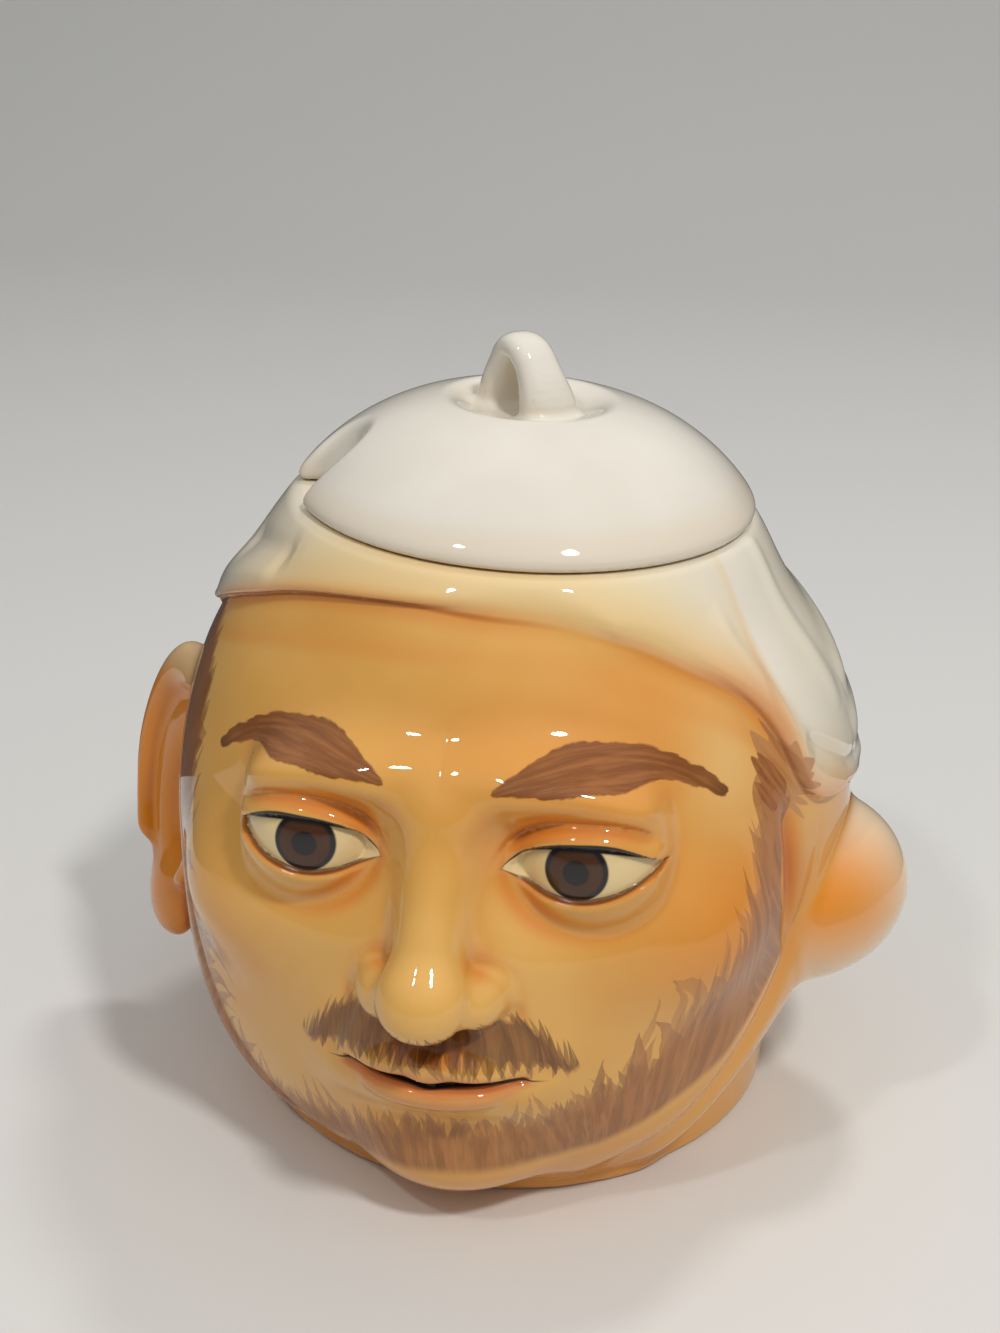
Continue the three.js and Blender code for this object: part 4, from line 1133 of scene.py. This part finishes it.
def cloth_colour(w, cloud):
    """Warm white with orange sprayed along the edge."""
    f = w.field
    edge, turn = f("over_edge"), f("turn")
    front = w.times(w.ease(-78.0, -30.0, turn), w.ease(66.0, 40.0, turn))
    side = w.times(w.ease(40.0, 58.0, turn), w.ease(90.0, 72.0, turn))
    cloth = w.mix(w.ease(0.35, 0.7, cloud), WHITE, linear(230, 221, 200))
    cloth = w.mix(w.times(w.ease(16.0, 4.0, edge), front, 0.9), cloth, WARM_WHITE)
    cloth = w.mix(w.times(w.ease(9.0, 0.0, edge), front, 0.9), cloth, CREAM)
    cloth = w.mix(w.times(w.ease(11.0, 2.0, edge), side, 0.5), cloth, CREAM)
    cloth = w.mix(w.times(w.ease(5.5, 0.5, edge), side, 0.5), cloth, ORANGE)
    return w.mix(w.times(w.ease(2.4, 0.0, edge), 0.3), cloth, ORANGE)


def jar_colour(w, cloud):
    f = w.field
    turn = f("turn")
    skin = skin_colour(w, cloud)
    skin = moustache_over(w, skin)
    skin = brows_over(w, skin)
    skin = mouth_over(w, skin)
    skin = eyes_over(w, skin)
    colour = w.mix(w.ease(-0.5, 0.5, f("over_edge")), skin, cloth_colour(w, cloud))
    # The sprayed line in the groove, strong at the left, gone in the middle and soft again at the right
    strong = w.times(w.ease(-76.0, -66.0, turn), w.ease(28.0, 0.0, turn))
    again = w.times(w.ease(26.0, 42.0, turn), w.ease(66.0, 60.0, turn))
    fine = w.ease(0.55, 0.05, w.absolute(w.add(f("over_edge"), 0.1)))
    soft = w.ease(2.4, 0.0, w.absolute(w.add(f("over_edge"), 0.3)))
    colour = w.mix(w.times(soft, w.larger(strong, w.times(again, 0.8)), 0.5), colour, ORANGE)
    colour = w.mix(w.times(fine, w.larger(strong, w.times(again, 0.2)), 0.6), colour, RUST)
    strip = w.spray(61.0, 46.5, 2.8, 8.5)
    colour = w.mix(w.times(strip, 0.95), colour, linear(200, 106, 24))
    colour = tuft_over(w, beard_over(w, colour))
    # The ear's orange, deeper in its bowl as painted shade, and cream towards its top
    ear_paint = w.mix(w.ease(0.1, 0.6, f("hollow_shade")), linear(224, 136, 24), linear(190, 98, 6))
    ear_paint = w.mix(w.times(w.ease(52.0, 59.0, f("height")), 0.8), ear_paint, linear(234, 206, 156))
    colour = w.mix(w.ease(0.6, -0.2, f("ear_skin")), colour, ear_paint)
    spot = w.spray(68.0, 40.0, 18.0, 11.0)
    knot_paint = w.mix(spot, linear(244, 231, 202), linear(224, 138, 30))
    colour = w.mix(w.ease(0.8, -0.2, f("knot_skin")), colour, knot_paint)
    return w.mix(f("inside"), colour, linear(238, 231, 216))


def build_materials():
    groups = {"strokes": brush_strokes_group(), "marks": kiln_marks_group(), "spray": airbrush_group()}
    return glazed("painted_glaze", jar_colour, groups, 0.6), glazed("white_glaze", lid_colour, groups, 1.0)


def area_light(name, at, towards, energy, size, colour=(1, 1, 1)):
    data = bpy.data.lights.new(name, "AREA")
    data.shape = "DISK"
    data.size = size
    data.energy = energy
    data.color = colour
    made = in_scene(name, data)
    made.location = at
    made.rotation_mode = "QUATERNION"
    made.rotation_quaternion = (Vector(at) - Vector(towards)).to_track_quat("Z", "Y")
    return made


def stage_piece(name, points, faces, material):
    mesh = bpy.data.meshes.new(name)
    mesh.from_pydata(points, [], faces)
    mesh.shade_smooth()
    mesh.materials.append(material)
    made = in_scene(name, mesh)
    return made


def studio():
    """Pale floor that sweeps up into a pale backdrop, soft lights and an even world."""
    material = bpy.data.materials.new("pale_card")
    material.use_nodes = True
    shader = material.node_tree.nodes["Principled BSDF"]
    shader.inputs["Base Color"].default_value = linear(226, 226, 224)
    shader.inputs["Roughness"].default_value = 0.6
    wide, slant = FLOOR_WIDTH, FLOOR_WIDTH * math.tan(math.radians(VIEW_TURN))
    near = [(-wide, TABLE_FRONT, 0), (wide, TABLE_FRONT, 0)]
    far = [(wide, TABLE_END + slant, 0), (-wide, TABLE_END - slant, 0)]
    stage_piece("table", near + far, [(0, 1, 2, 3)], material)
    points = [far[1], far[0]]
    for i in range(SWEEP_STEPS + 1):
        a = math.radians(90 * i / SWEEP_STEPS)
        y, z = SWEEP_START + SWEEP_RADIUS * math.sin(a), SWEEP_RADIUS * (1 - math.cos(a))
        points += [(-wide, y, z), (wide, y, z)]
    points += [(-wide, y, BACKDROP_TOP), (wide, y, BACKDROP_TOP)]
    faces = [(i, i + 1, i + 3, i + 2) for i in range(0, len(points) - 2, 2)]
    # The glaze mirrors the table but not the backdrop, which it would turn grey at its edges
    stage_piece("backdrop", points, faces, material).visible_glossy = False
    world = bpy.data.worlds.new("studio")
    world.use_nodes = True
    nodes = world.node_tree.nodes
    w = Wiring(world.node_tree)
    split_at = w.node("ShaderNodeSeparateXYZ")
    w.feed(split_at.inputs[0], w.node("ShaderNodeTexCoord").outputs["Generated"])
    overhead = w.ease(0.0, 0.75, split_at.outputs["Z"])
    w.feed(nodes["Background"].inputs["Strength"], w.scaled(overhead, 0.4, 0.07))
    nodes["Background"].inputs["Color"].default_value = (1, 1, 1, 1)
    bpy.context.scene.world = world
    middle = (0, 0, 0.05)
    area_light("key", (0.33, -0.36, 0.66), middle, 2.5, 0.08, (1, 0.97, 0.93))
    area_light("fill", (0.14, 0.26, 0.72), middle, 1.05, 0.1, (1, 0.97, 0.93)).visible_glossy = False
    area_light("second", (-0.2, -0.42, 0.66), middle, 0.7, 0.05, (1, 0.98, 0.95))


def camera():
    """The photograph's view: 12 degrees round to the right, 23 degrees down."""
    data = bpy.data.cameras.new("camera")
    made = in_scene("camera", data)
    bpy.context.scene.camera = made
    turn, pitch, roll = (math.radians(v) for v in (VIEW_TURN, VIEW_DOWN, VIEW_ROLL))
    made.location = (
        math.sin(turn) * VIEW_AWAY - VIEW_SHIFT * math.cos(turn),
        -math.cos(turn) * VIEW_AWAY - VIEW_SHIFT * math.sin(turn),
        VIEW_HEIGHT,
    )
    level = math.cos(pitch)
    back = Vector((math.sin(turn) * level, -math.cos(turn) * level, math.sin(pitch)))
    made.rotation_mode = "QUATERNION"
    made.rotation_quaternion = back.to_track_quat("Z", "Y") @ Quaternion((0, 0, 1), roll)
    data.sensor_width = SENSOR
    data.lens = VIEW_FOCAL * SENSOR / PICTURE_HEIGHT
    data.clip_start, data.clip_end = 0.01, 20


def main():
    painted, white = build_materials()
    low, high = (-61, -60, -2.0), (60, 52, 89)
    jar_piece = mesh_object("jar", jar, low, high, (shown_skin, sharp_places), jar_fields, painted)
    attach(jar_piece, "jar")
    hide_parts("jar_body", "ear", "scarf_knot")
    lid_piece = mesh_object("lid", lid, (-33, -34, 77), (36, 34, 109), (whole_lid,), lid_fields, white)
    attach(lid_piece, "lid")
    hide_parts("lid_dome", "lid_collar", "lid_loop")
    studio()
    camera()
    bpy.context.scene.view_settings.view_transform = "Standard"


main()
